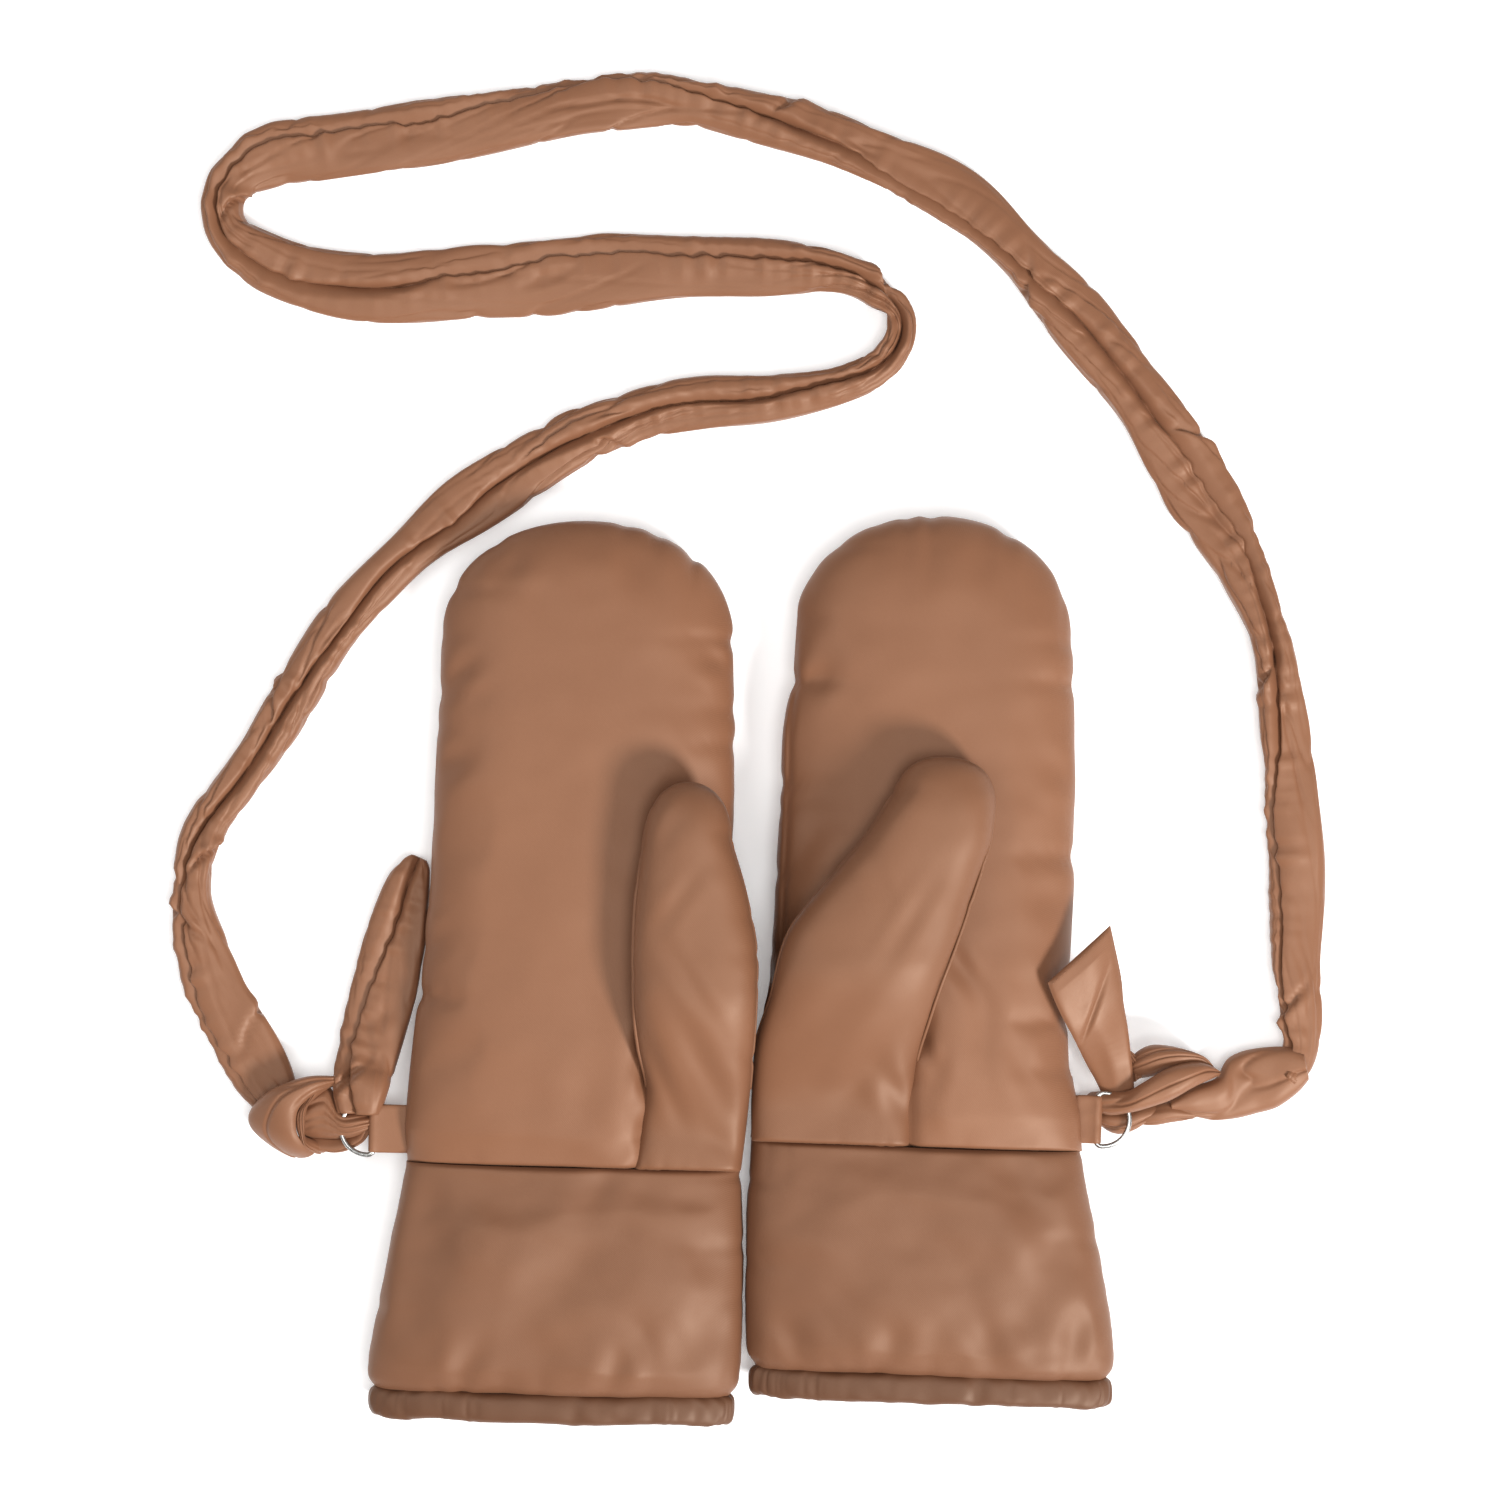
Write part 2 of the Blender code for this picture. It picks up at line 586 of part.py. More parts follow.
LEFT_TAIL_ROUTE = [
    (-0.156, -0.042, REST), (-0.151, -0.024, REST), (-0.146, -0.002, REST), (-0.140, 0.020, REST),
    (-0.1335, 0.040, REST), (-0.130, 0.048, REST),
]
RIGHT_TAIL_ROUTE = [
    (0.1650, -0.031, 0.016), (0.1635, -0.026, 0.016), (0.1615, -0.020, 0.016),
    (0.1575, -0.010, 0.022), (0.1510, 0.000, 0.030), (0.1400, 0.014, 0.036),
]


def build():
    for old in list(bpy.data.objects):
        bpy.data.objects.remove(old, do_unlink=True)

    left_bar = mitten("left", 1, LEFT_RING, LEFT_LEAN, LEFT_TAB_LENGTH, LEFT_THUMB, LEFT_THUMB_TIP)
    right_bar = mitten("right", -1, RIGHT_RING, RIGHT_LEAN, RIGHT_TAB_LENGTH, RIGHT_THUMB,
                       RIGHT_THUMB_TIP)

    strap = smooth_route(STRAP_ROUTE, STRAP_POINTS)
    left_tail = smooth_route(LEFT_TAIL_ROUTE, TAIL_POINTS)
    right_tail = smooth_route(RIGHT_TAIL_ROUTE, TAIL_POINTS)
    soft_tube("neck_strap", strap, STRAP_WIDTH, STRAP_THICKNESS)
    soft_tube("left_tail", left_tail, TAIL_WIDTH, TAIL_THICKNESS)
    soft_tube("right_tail", right_tail, TAIL_WIDTH, TAIL_THICKNESS)

    strap_flatness = STRAP_THICKNESS / STRAP_WIDTH
    tail_flatness = TAIL_THICKNESS / TAIL_WIDTH
    knot("left", 1, LEFT_KNOT, LEFT_KNOT_HALF,
         ((*strap[:2], strap_flatness), (*left_tail[:2], tail_flatness)), left_bar, LEFT_LEAN)
    knot("right", -1, RIGHT_KNOT, RIGHT_KNOT_HALF,
         ((*strap[:-3:-1], strap_flatness), (*right_tail[:2], tail_flatness)), right_bar, RIGHT_LEAN)


build()
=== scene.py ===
import json
import math

import bmesh
import bpy
from mathutils import Matrix, Vector, noise


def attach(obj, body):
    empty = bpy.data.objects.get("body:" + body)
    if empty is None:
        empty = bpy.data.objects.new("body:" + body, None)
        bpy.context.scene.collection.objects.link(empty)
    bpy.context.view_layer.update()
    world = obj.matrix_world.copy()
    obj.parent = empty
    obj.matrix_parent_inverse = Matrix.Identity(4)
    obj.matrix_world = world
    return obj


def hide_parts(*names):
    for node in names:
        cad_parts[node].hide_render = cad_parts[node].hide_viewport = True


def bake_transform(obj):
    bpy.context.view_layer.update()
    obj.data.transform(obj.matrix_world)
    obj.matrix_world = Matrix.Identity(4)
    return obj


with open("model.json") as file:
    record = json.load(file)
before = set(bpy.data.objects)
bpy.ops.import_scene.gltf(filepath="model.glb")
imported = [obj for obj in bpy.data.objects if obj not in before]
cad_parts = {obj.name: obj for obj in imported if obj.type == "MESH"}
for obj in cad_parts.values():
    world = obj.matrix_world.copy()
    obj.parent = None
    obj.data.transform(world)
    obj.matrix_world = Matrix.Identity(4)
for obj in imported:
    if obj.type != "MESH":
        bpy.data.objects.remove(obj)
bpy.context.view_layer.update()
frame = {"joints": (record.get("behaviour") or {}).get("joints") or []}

bpy.ops.object.select_all(action="DESELECT")


# ---- hands ----------------------------------------------------------------------------------
# Each hand is a palm panel and a back panel of brown satin over wadding, sewn together down both
# sides and over the fingertips. The stitching pulls the padded cloth in to small notches.

SATIN = (0.208, 0.089, 0.045)
SATIN_DARK = (0.14, 0.056, 0.028)
PALM_HEIGHT = 0.0325
HALF_WIDTH_AT_TAB = 0.0660
TAB_ABOVE_SEAM = 0.0125
TAB_REACH = {"left": 0.0140, "right": 0.0056}  # from the side seam to the ring's bar
# half widths on the side of the ring and on the side of the thumb, up the hand
HANDS = {
    "left": {
        "side": "left", "length": 0.2545, "corner": 0.046, "seed": 3.0,
        "outer": [(0.0, 0.0665), (0.034, 0.0655), (0.064, 0.0635), (0.116, 0.0598), (0.16, 0.0582),
                  (0.204, 0.057)],
        "inner": [(0.0, 0.0665), (0.034, 0.0655), (0.09, 0.062), (0.135, 0.0607), (0.187, 0.0588),
                  (0.203, 0.057)],
        # dents: x, y, direction in degrees, half length, half width, depth
        "dents": [(-0.05, 0.195, 40, 0.01, 0.004, 0.0016), (-0.052, 0.16, 25, 0.012, 0.005, 0.0018),
                  (0.052, 0.203, 150, 0.006, 0.004, 0.0018), (-0.03, 0.238, 60, 0.008, 0.005, 0.0012),
                  (0.02, 0.24, 100, 0.01, 0.006, 0.0012), (-0.03, 0.1, 75, 0.04, 0.012, 0.0009),
                  (0.005, 0.03, 80, 0.025, 0.007, 0.0008), (-0.056, 0.09, 20, 0.01, 0.004, 0.0012),
                  (0.0275, 0.037, 105, 0.006, 0.0016, 0.0045)],
    },
    "right": {
        "side": "right", "length": 0.2485, "corner": 0.050, "seed": 9.0,
        "outer": [(0.0, 0.0665), (0.014, 0.064), (0.036, 0.06), (0.092, 0.0598), (0.12, 0.0594),
                  (0.188, 0.0558), (0.204, 0.0545)],
        "inner": [(0.0, 0.0665), (0.034, 0.064), (0.095, 0.06), (0.16, 0.0582), (0.186, 0.056),
                  (0.204, 0.055)],
        "dents": [(-0.014, 0.072, 55, 0.01, 0.0035, 0.0026), (-0.024, 0.05, 85, 0.02, 0.005, 0.0014),
                  (-0.006, 0.03, 100, 0.01, 0.003, 0.0016), (0.05, 0.115, 120, 0.012, 0.005, 0.0018),
                  (-0.05, 0.1, 20, 0.012, 0.006, 0.0014), (-0.053, 0.15, 30, 0.01, 0.005, 0.0012),
                  (0.046, 0.185, 140, 0.008, 0.005, 0.0016), (-0.018, 0.236, 80, 0.01, 0.006, 0.0012),
                  (-0.04, 0.035, 60, 0.015, 0.005, 0.0012), (-0.0005, 0.038, 100, 0.006, 0.0016, 0.0045)],
        # the seam that shows on top, a little inside the edge
        "seam": [(0.088, 0.0567), (0.184, 0.0546)],
    },
}


# where the thumb root's inner seam runs on the palm, up from the cuff seam
THUMB_ROOTS = {
    "left": [(0.0, 0.0243), (0.016, 0.0266), (0.033, 0.0291), (0.06, 0.024)],
    "right": [(0.0, 0.002), (0.02, 0.002), (0.034, 0.0018), (0.06, -0.0045)],
}


def ramp(value, reach=1.0):
    """From 0 to 1 as the value goes from 0 to the reach."""
    return max(0.0, min(1.0, value / reach))


def ease(share):
    """The same from 0 to 1, but with a slow start and end."""
    return share * share * (3 - 2 * share)


def smooth_value(table, y):
    """A value between the (place, value) pairs of a table, with no corners."""
    if y <= table[0][0]:
        return table[0][1]
    if y >= table[-1][0]:
        return table[-1][1]
    k = next(i for i in range(1, len(table)) if y <= table[i][0])
    (y0, v0), (y1, v1) = table[k - 1], table[k]
    slope = (v1 - v0) / (y1 - y0)
    before = (v0 - table[k - 2][1]) / (y0 - table[k - 2][0]) if k > 1 else slope
    after = (table[k + 1][1] - v1) / (table[k + 1][0] - y1) if k + 1 < len(table) else slope
    m0, m1 = (before + slope) / 2 * (y1 - y0), (slope + after) / 2 * (y1 - y0)
    t = (y - y0) / (y1 - y0)
    return ((2 * t ** 3 - 3 * t ** 2 + 1) * v0 + (t ** 3 - 2 * t ** 2 + t) * m0
            + (3 * t ** 2 - 2 * t ** 3) * v1 + (t ** 3 - t ** 2) * m1)


def swing_of(side):
    """The hinge that a mitten swings on, which is its D-ring's straight bar."""
    return next(j for j in frame["joints"] if j["name"] == side + "_mitten_swing")


def mitten_frame(side):
    """A mitten's own frame: its origin is the middle of the cuff seam, +Y runs to the fingertips."""
    mirror = 1 if side == "left" else -1
    joint = swing_of(side)
    along = Vector(joint["axis"]).normalized() * -mirror
    bar = Vector(joint["pos_m"])
    across = Vector((along.y, -along.x, 0))
    origin = bar + across * mirror * (HALF_WIDTH_AT_TAB + TAB_REACH[side]) - along * TAB_ABOVE_SEAM
    return Matrix((
        (across.x, along.x, 0, origin.x),
        (across.y, along.y, 0, origin.y),
        (0, 0, 1, 0),
        (0, 0, 0, 1),
    )), mirror


def notch(along, pitch, width, seed):
    """How far the stitching draws the edge in at a place along a seam, from 0 to 1."""
    k = round(along / pitch)
    deepest = 0.0
    for j in (k - 1, k, k + 1):
        middle = (j + 0.38 * noise.noise(Vector((j * 1.7, seed, 0.5)))) * pitch
        depth = 0.22 + 1.55 * noise.noise(Vector((j * 2.3, seed, 7.5)))
        deepest = max(deepest, max(0.0, depth) * math.exp(-((along - middle) / width) ** 2))
    return deepest


def new_mesh_object(name, bm):
    """An object with a finished mesh, smooth all over."""
    mesh = bpy.data.meshes.new(name)
    bm.to_mesh(mesh)
    bm.free()
    for face in mesh.polygons:
        face.use_smooth = True
    made = bpy.data.objects.new(name, mesh)
    bpy.context.scene.collection.objects.link(made)
    return made


def padded_panels(name, form, columns, rows, mirror, open_end=False):
    """Two panels sewn along their edges: a grid for the top and one for the underside.

    Rows and columns crowd towards the seams. form(share across, share up) gives x, y and two heights.
    """
    bm = bmesh.new()
    seam = bm.verts.layers.float.new("seam")
    give = bm.verts.layers.float.new("give")
    grids = []
    for upper in (True, False):
        grid = []
        for r in range(rows + 1):
            up = 0.35 * r / rows + 0.65 * (1 - math.cos(math.pi * r / rows)) / 2
            line = []
            for c in range(columns + 1):
                s = math.sin(math.pi / 2 * (2 * c / columns - 1))
                x, y, top, under, edge, free = form(s, up)
                vert = bm.verts.new((x * mirror, y, top if upper else under))
                vert[seam] = edge
                vert[give] = free if upper else min(1.0, free * 2)
                line.append(vert)
            grid.append(line)
        grids.append(grid)
        for r in range(rows):
            for c in range(columns):
                bm.faces.new((grid[r][c], grid[r][c + 1], grid[r + 1][c + 1], grid[r + 1][c]))
    bmesh.ops.remove_doubles(bm, verts=bm.verts, dist=2e-5)
    if not open_end:
        bmesh.ops.holes_fill(bm, edges=[e for e in bm.edges if e.is_boundary], sides=0)
        bmesh.ops.triangulate(bm, faces=[f for f in bm.faces if len(f.verts) > 4])
    bmesh.ops.recalc_face_normals(bm, faces=bm.faces)
    return new_mesh_object(name, bm)


CLOTH_FRAMES = 18
LOWEST = 0.0002  # the height above the floor that cloth stays at


def stuff(piece, grow, pressure, cap, seed, shake=0.0008):
    """Let the padding push the cloth out between its seams, with a little cloth to spare.

    The spare cloth buckles into soft dents and into puckers along the seams, which are held.
    """
    start = [v.co.copy() for v in piece.data.vertices]
    layer = piece.data.attributes["seam"].data
    held = piece.vertex_groups.new(name="held")
    for v in piece.data.vertices:
        hold = layer[v.index].value
        v.co += noise.noise_vector(v.co * 48 + Vector((seed, 0, 0))) * shake * (1 - hold)
        if hold > 0:
            held.add([v.index], hold, "REPLACE")
    cloth = piece.modifiers.new("cloth", "CLOTH")
    cloth.settings.quality = 6
    cloth.settings.mass = 0.25
    cloth.settings.tension_stiffness = 18
    cloth.settings.compression_stiffness = 18
    cloth.settings.shear_stiffness = 6
    cloth.settings.bending_stiffness = 6.0
    cloth.settings.air_damping = 6
    cloth.settings.vertex_group_mass = "held"
    cloth.settings.use_pressure = True
    cloth.settings.uniform_pressure_force = pressure
    cloth.settings.shrink_min = -grow
    cloth.settings.effector_weights.gravity = 0
    cloth.point_cache.frame_end = CLOTH_FRAMES
    scene = bpy.context.scene
    for number in range(1, CLOTH_FRAMES + 1):
        scene.frame_set(number)
    done = piece.evaluated_get(bpy.context.evaluated_depsgraph_get()).to_mesh()
    places = [v.co.copy() for v in done.vertices]
    piece.modifiers.remove(cloth)
    scene.frame_set(1)
    give = piece.data.attributes["give"].data
    for v, place, origin in zip(piece.data.vertices, places, start):
        move = (place - origin) * give[v.index].value
        if move.length > cap:
            move *= cap / move.length
        v.co = origin + move
        v.co.z = max(v.co.z, 0.0004)
    piece.vertex_groups.clear()


def press_dents(piece, dents, mirror, floor_z):
    """Long soft hollows in the padding's top, each pressed in along its own line."""
    for v in piece.data.vertices:
        if v.co.z < floor_z:
            continue
        for x, y, degrees, length, width, depth in dents:
            dx, dy = v.co.x * mirror - x, v.co.y - y
            c, s = math.cos(math.radians(degrees)), math.sin(math.radians(degrees))
            along, across = dx * c + dy * s, dy * c - dx * s
            away = (along / length) ** 2 + (across / width) ** 2
            if away < 9:
                v.co.z -= depth * math.exp(-away)
                rim = ((abs(across) - width * 1.9) / width) ** 2 + (along / length) ** 2
                v.co.z += depth * 0.35 * math.exp(-rim)


def keep_off_floor(piece, lowest):
    """Nothing of a soft piece goes below a height."""
    for v in piece.data.vertices:
        v.co.z = max(v.co.z, lowest)


def smooth_finish(piece):
    """One level of subdivision, applied."""
    finish = piece.modifiers.new("smooth", "SUBSURF")
    finish.levels = 1
    finish.render_levels = 1
    bpy.context.view_layer.objects.active = piece
    bpy.ops.object.modifier_apply(modifier=finish.name)
    keep_off_floor(piece, LOWEST)


def set_inputs(tree, node, inputs):
    """A value or a link for each named input of a node."""
    for name, value in inputs.items():
        if isinstance(value, bpy.types.NodeSocket):
            tree.links.new(value, node.inputs[name])
        else:
            node.inputs[name].default_value = value


def add_node(tree, kind, inputs, **settings):
    """A new node with its settings and its inputs."""
    made = tree.nodes.new(kind)
    for name, value in settings.items():
        setattr(made, name, value)
    set_inputs(tree, made, inputs)
    return made


def new_material(name):
    """A material, its node tree and its shader."""
    made = bpy.data.materials.new(name)
    made.use_nodes = True
    return made, made.node_tree, made.node_tree.nodes["Principled BSDF"]


def weave_group():
    """Fine satin floats: long threads side by side, with small breaks, and slow tone changes."""
    group = bpy.data.node_groups.new("satin_weave", "ShaderNodeTree")
    group.interface.new_socket("Vector", in_out="INPUT", socket_type="NodeSocketVector")
    pitch = group.interface.new_socket("Threads per metre", in_out="INPUT", socket_type="NodeSocketFloat")
    pitch.default_value = THREADS_PER_METRE
    for output in ("Tone", "Height", "Wear"):
        group.interface.new_socket(output, in_out="OUTPUT", socket_type="NodeSocketFloat")
    entry = group.nodes.new("NodeGroupInput").outputs
    where = entry["Vector"]
    scaled = add_node(group, "ShaderNodeVectorMath", {
        0: where, "Scale": entry["Threads per metre"]}, operation="SCALE").outputs[0]
    threads = add_node(group, "ShaderNodeTexWave", {
        "Scale": 0.35, "Distortion": 1.2, "Detail": 1.0, "Vector": scaled}, bands_direction="DIAGONAL")
    floats = add_node(group, "ShaderNodeTexNoise", {"Scale": 0.5, "Detail": 2.0, "Vector": scaled})
    height = add_node(group, "ShaderNodeMath", {
        0: threads.outputs["Fac"], 1: floats.outputs["Fac"]}, operation="MULTIPLY")
    clouds = add_node(group, "ShaderNodeTexNoise", {"Scale": 22.0, "Detail": 5.0, "Vector": where})
    tone = add_node(group, "ShaderNodeMapRange", {
        "From Min": 0.3, "From Max": 0.7, "Value": clouds.outputs["Fac"]})
    grain = add_node(group, "ShaderNodeTexNoise", {"Scale": 1500.0, "Detail": 2.0, "Vector": where})
    both = add_node(group, "ShaderNodeMix", {0: 0.50, 2: tone.outputs[0], 3: grain.outputs["Fac"]})
    rub = add_node(group, "ShaderNodeTexNoise", {"Scale": 90.0, "Detail": 3.0, "Vector": where})
    add_node(group, "NodeGroupOutput", {
        "Tone": both.outputs[0], "Height": height.outputs[0], "Wear": rub.outputs["Fac"]})
    return group


THREADS_PER_METRE = 2600
weave = weave_group()


def fabric(name, light, dark, roughness):
    """A woven cloth: two tones of one colour, threads as bump, and a soft sheen."""
    made, tree, shader = new_material(name)
    where = tree.nodes.new("ShaderNodeTexCoord")
    threads = add_node(tree, "ShaderNodeGroup", {}, node_tree=weave)
    set_inputs(tree, threads, {"Vector": where.outputs["Object"], "Threads per metre": THREADS_PER_METRE})
    share = add_node(tree, "ShaderNodeMath", {0: threads.outputs["Tone"], 1: 0.45}, operation="MULTIPLY")
    colour = add_node(tree, "ShaderNodeMix", {
        0: share.outputs[0], 6: (*light, 1), 7: (*dark, 1)}, data_type="RGBA")
    gloss = add_node(tree, "ShaderNodeMapRange", {
        "To Min": roughness - 0.05, "To Max": roughness + 0.06, "Value": threads.outputs["Wear"]})
    relief = add_node(tree, "ShaderNodeBump", {
        "Strength": 0.16, "Distance": 0.0003, "Height": threads.outputs["Height"]})
    set_inputs(tree, shader, {
        "Base Color": colour.outputs[2], "Roughness": gloss.outputs[0], "Normal": relief.outputs[0],
        "Sheen Weight": 0.04, "Sheen Roughness": 0.4, "Sheen Tint": (1.0, 0.78, 0.62, 1),
        "Specular IOR Level": 0.45, "Specular Tint": (1.0, 0.8, 0.64, 1)})
    return made


satin = fabric("brown_satin", SATIN, SATIN_DARK, 0.50)


def end_round(away, reach):
    """The turn of padded cloth down into a seam, from 0 at the seam to 1."""
    return (1 - (1 - ramp(away, reach)) ** 2.4) ** 0.5


def soft_waves(x, y, seed, height):
    """Broad shallow waves of padded cloth, wider across than along."""
    broad = noise.noise(Vector((x * 26, y * 38, seed)))
    return height * (broad + 0.4 * noise.noise(Vector((x * 75, y * 95, seed + 1))))


ROOT_PRESS = 0.0040  # how far the thumb's root presses the palm down


def hand_form_for(shape):
    """The hand's outline, crown, seams and puckers, for its two panels."""
    seed = shape["seed"]

    def hand_form(s, t):
        arc = shape["corner"] * (1 - abs(s) ** 2.1) ** (1 / 2.1)
        tip_y = shape["length"] - shape["corner"] + arc
        tip_y -= 0.0034 * notch(s * 0.062, 0.014, 0.0021, seed + 40) * (1 - abs(s)) ** 0.15
        y = -0.0005 + (tip_y + 0.0005) * t
        outer = smooth_value(shape["outer"], y)
        inner = smooth_value(shape["inner"], y)
        pull_out = notch(y, 0.017, 0.0024, seed) if y > 0.01 else 0
        pull_in = notch(y, 0.013, 0.0022, seed + 15) if y > 0.01 else 0
        outer -= 0.0012 * pull_out
        inner -= 0.0021 * pull_in
        x = (inner - outer) / 2 + s * (inner + outer) / 2
        edge_x = min(x + outer, inner - x)
        crown = (1 - abs(s) ** 2.9) ** (1 / 2.3)
        to_tip = max(0.0, 1 - (tip_y - y) / 0.04)
        crown *= (1 - to_tip ** 2.3) ** (1 / 2.2)
        turn = end_round(y + 0.0005, 0.0022)
        thick = PALM_HEIGHT - 0.0015 * math.exp(-y / 0.012)
        middle = thick * 0.46
        top = middle + (thick - middle) * crown * (0.72 + 0.28 * turn)
        top += crown * turn * soft_waves(x, y, seed, 0.0008)
        near = math.exp(-edge_x / 0.009)
        top -= 0.0026 * near * (pull_in if s > 0 else pull_out) * crown
        if "seam" in shape:
            off = x - smooth_value(shape["seam"], y)
            shown = ramp(min(y - 0.045, 0.205 - y), 0.02)
            top -= 0.0016 * math.exp(-(off / 0.0009) ** 2) * shown
        pucker = notch(x, 0.0062, 0.0011, seed + 60)
        top -= 0.0007 * pucker * math.exp(-y / 0.0045) * crown
        under = max(0.0004, middle - (middle + 0.003) * crown * (0.8 + 0.2 * turn))
        edge = 1.0 if abs(s) > 0.9999 or t > 0.9999 or t < 0.0001 else 0.0
        free = ramp(y - 0.001, 0.014)
        root_edge = smooth_value(THUMB_ROOTS[shape["side"]], y)
        if y < 0.060:
            over_root = ramp(x - root_edge + 0.010, 0.010)
            free *= 1 - over_root * ramp(0.060 - y, 0.015)
            top -= ROOT_PRESS * ramp(x - root_edge - 0.0004, 0.0012) * ramp(0.060 - y, 0.01)
        return x, y, top, under, edge, free

    return hand_form


for side in ("left", "right"):
    place, mirror = mitten_frame(side)
    shape = HANDS[side]
    hand = padded_panels(side + "_hand", hand_form_for(shape), 56, 88, mirror)
    stuff(hand, grow=0.03, pressure=2.5, cap=0.0035, seed=shape["seed"])
    press_dents(hand, shape["dents"], mirror, 0.018)
    hand.data.transform(place)
    smooth_finish(hand)
    hand.data.materials.append(satin)
    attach(hand, side + "_mitten")
    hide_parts(side + "_hand_palm_shell", side + "_hand_back_shell",
                side + "_hand_palm_wadding", side + "_hand_back_wadding")


# ---- thumbs ---------------------------------------------------------------------------------
# Each thumb is a front and a back panel over wadding, in one piece with the root that is sewn to
# the palm from the crotch down to the cuff seam. It lies folded over the palm, and its side seams
# stand up as a thin pale ridge.

CROTCH_Y = 0.033
thumb_satin = fabric("thumb_satin", (0.182, 0.077, 0.038), (0.124, 0.05, 0.025), 0.5)
THUMBS = {
    "left": {
        "seed": 21.0, "tip": 0.128, "tip_length": 0.0245, "round": 2.1,
        "outer": [(0.0, 0.0672), (0.018, 0.069), (0.045, 0.0708), (0.073, 0.0717), (0.089, 0.0712),
                  (0.112, 0.0662), (0.13, 0.0605)],
        "inner": [(0.0, 0.024), (0.016, 0.0263), (0.031, 0.0286), (0.0335, 0.0287),
                  (0.05, 0.025), (0.07, 0.0231),
                  (0.107, 0.023), (0.13, 0.0258)],
        "dents": [(0.034, 0.04, 115, 0.02, 0.003, 0.0012), (0.05, 0.046, 120, 0.022, 0.004, 0.001),
                  (0.058, 0.012, 150, 0.01, 0.004, 0.0008), (0.036, 0.135, 60, 0.01, 0.004, 0.0008),
                  (0.044, 0.078, 125, 0.016, 0.003, 0.0009), (0.04, 0.108, 55, 0.014, 0.003, 0.0007)],
    },
    "right": {
        "seed": 34.0, "tip": 0.134, "tip_length": 0.0195, "round": 2.3,
        "outer": [(0.0, 0.0662), (0.018, 0.0668), (0.041, 0.0656), (0.057, 0.0612), (0.085, 0.0543),
                  (0.101, 0.043), (0.125, 0.0245), (0.14, 0.0155)],
        "inner": [(0.0, 0.002), (0.02, 0.0018), (0.034, 0.0016), (0.05, -0.002), (0.064, -0.0057),
                  (0.08, -0.011), (0.103, -0.018), (0.123, -0.0232), (0.138, -0.0245)],
        "dents": [(0.022, 0.03, 120, 0.016, 0.005, 0.0012), (0.01, 0.022, 60, 0.012, 0.004, 0.0014),
                  (0.04, 0.05, 140, 0.02, 0.006, 0.0008), (0.008, 0.09, 118, 0.018, 0.003, 0.0009),
                  (0.02, 0.104, 60, 0.012, 0.003, 0.0008)],
    },
}


def thumb_form_for(shape):
    """The thumb's outline and how it rises from the root, flat at the cuff seam, over the palm."""
    def thumb_form(s, t):
        arc = shape["tip_length"] * (1 - abs(s) ** shape["round"]) ** (1 / shape["round"])
        tip_y = shape["tip"] + arc
        y = -0.0003 + (tip_y + 0.0003) * t
        outer = smooth_value(shape["outer"], y)
        inner = smooth_value(shape["inner"], y)
        if y > CROTCH_Y:
            outer -= 0.0006 * notch(y, 0.015, 0.0020, shape["seed"])
            inner += 0.0006 * notch(y, 0.016, 0.0020, shape["seed"] + 5)
        free = ramp(y - 0.012, 0.062)
        free = ease(free)
        flat = 7.0 - 4.6 * min(1.0, free * 1.6)
        crown = (1 - abs(s) ** (flat + 0.5)) ** (1 / 2.0)
        to_tip = max(0.0, 1 - (tip_y - y) / 0.024)
        crown *= (1 - to_tip ** 2.3) ** (1 / 2.2)
        turn = end_round(y + 0.0003, 0.0022)
        middle = 0.0228 + 0.0239 * free
        half = 0.0098 + 0.0034 * free
        x = (outer + inner) / 2 + s * (outer - inner) / 2
        top = middle + half * crown * (0.68 + 0.32 * turn)
        top += crown * turn * soft_waves(x, y, shape["seed"], 0.0008)
        top -= 0.0007 * notch(x, 0.0062, 0.0011, shape["seed"] + 60) * math.exp(-y / 0.0045)
        edge = 1.0 if abs(s) > 0.9999 or t > 0.9999 or t < 0.0001 else 0.0
        give = ramp(y - 0.020, 0.030) * (1 - 0.85 * max(0.0, s) ** 8)
        return x, y, top, middle - half * crown * 0.95, edge, give

    return thumb_form


def direction(places, i):
    """Which way a line of places runs at one of them."""
    return (places[min(i + 1, len(places) - 1)] - places[max(i - 1, 0)]).normalized()


def round_cord(bm, places, radius):
    """A thin closed-ended round piece through the places, added to a mesh."""
    around = 8
    rings = []
    for i, here in enumerate(places):
        ahead = direction(places, i)
        side = ahead.cross(Vector((0, 0, 1))).normalized()
        up = side.cross(ahead)
        rings.append([bm.verts.new(here + side * math.cos(2 * math.pi * k / around) * radius
                                   + up * math.sin(2 * math.pi * k / around) * radius)
                      for k in range(around)])
    for low, high in zip(rings, rings[1:]):
        for k in range(around):
            bm.faces.new((low[k], low[(k + 1) % around], high[(k + 1) % around], high[k]))
    bm.faces.new(rings[0])
    bm.faces.new(rings[-1])


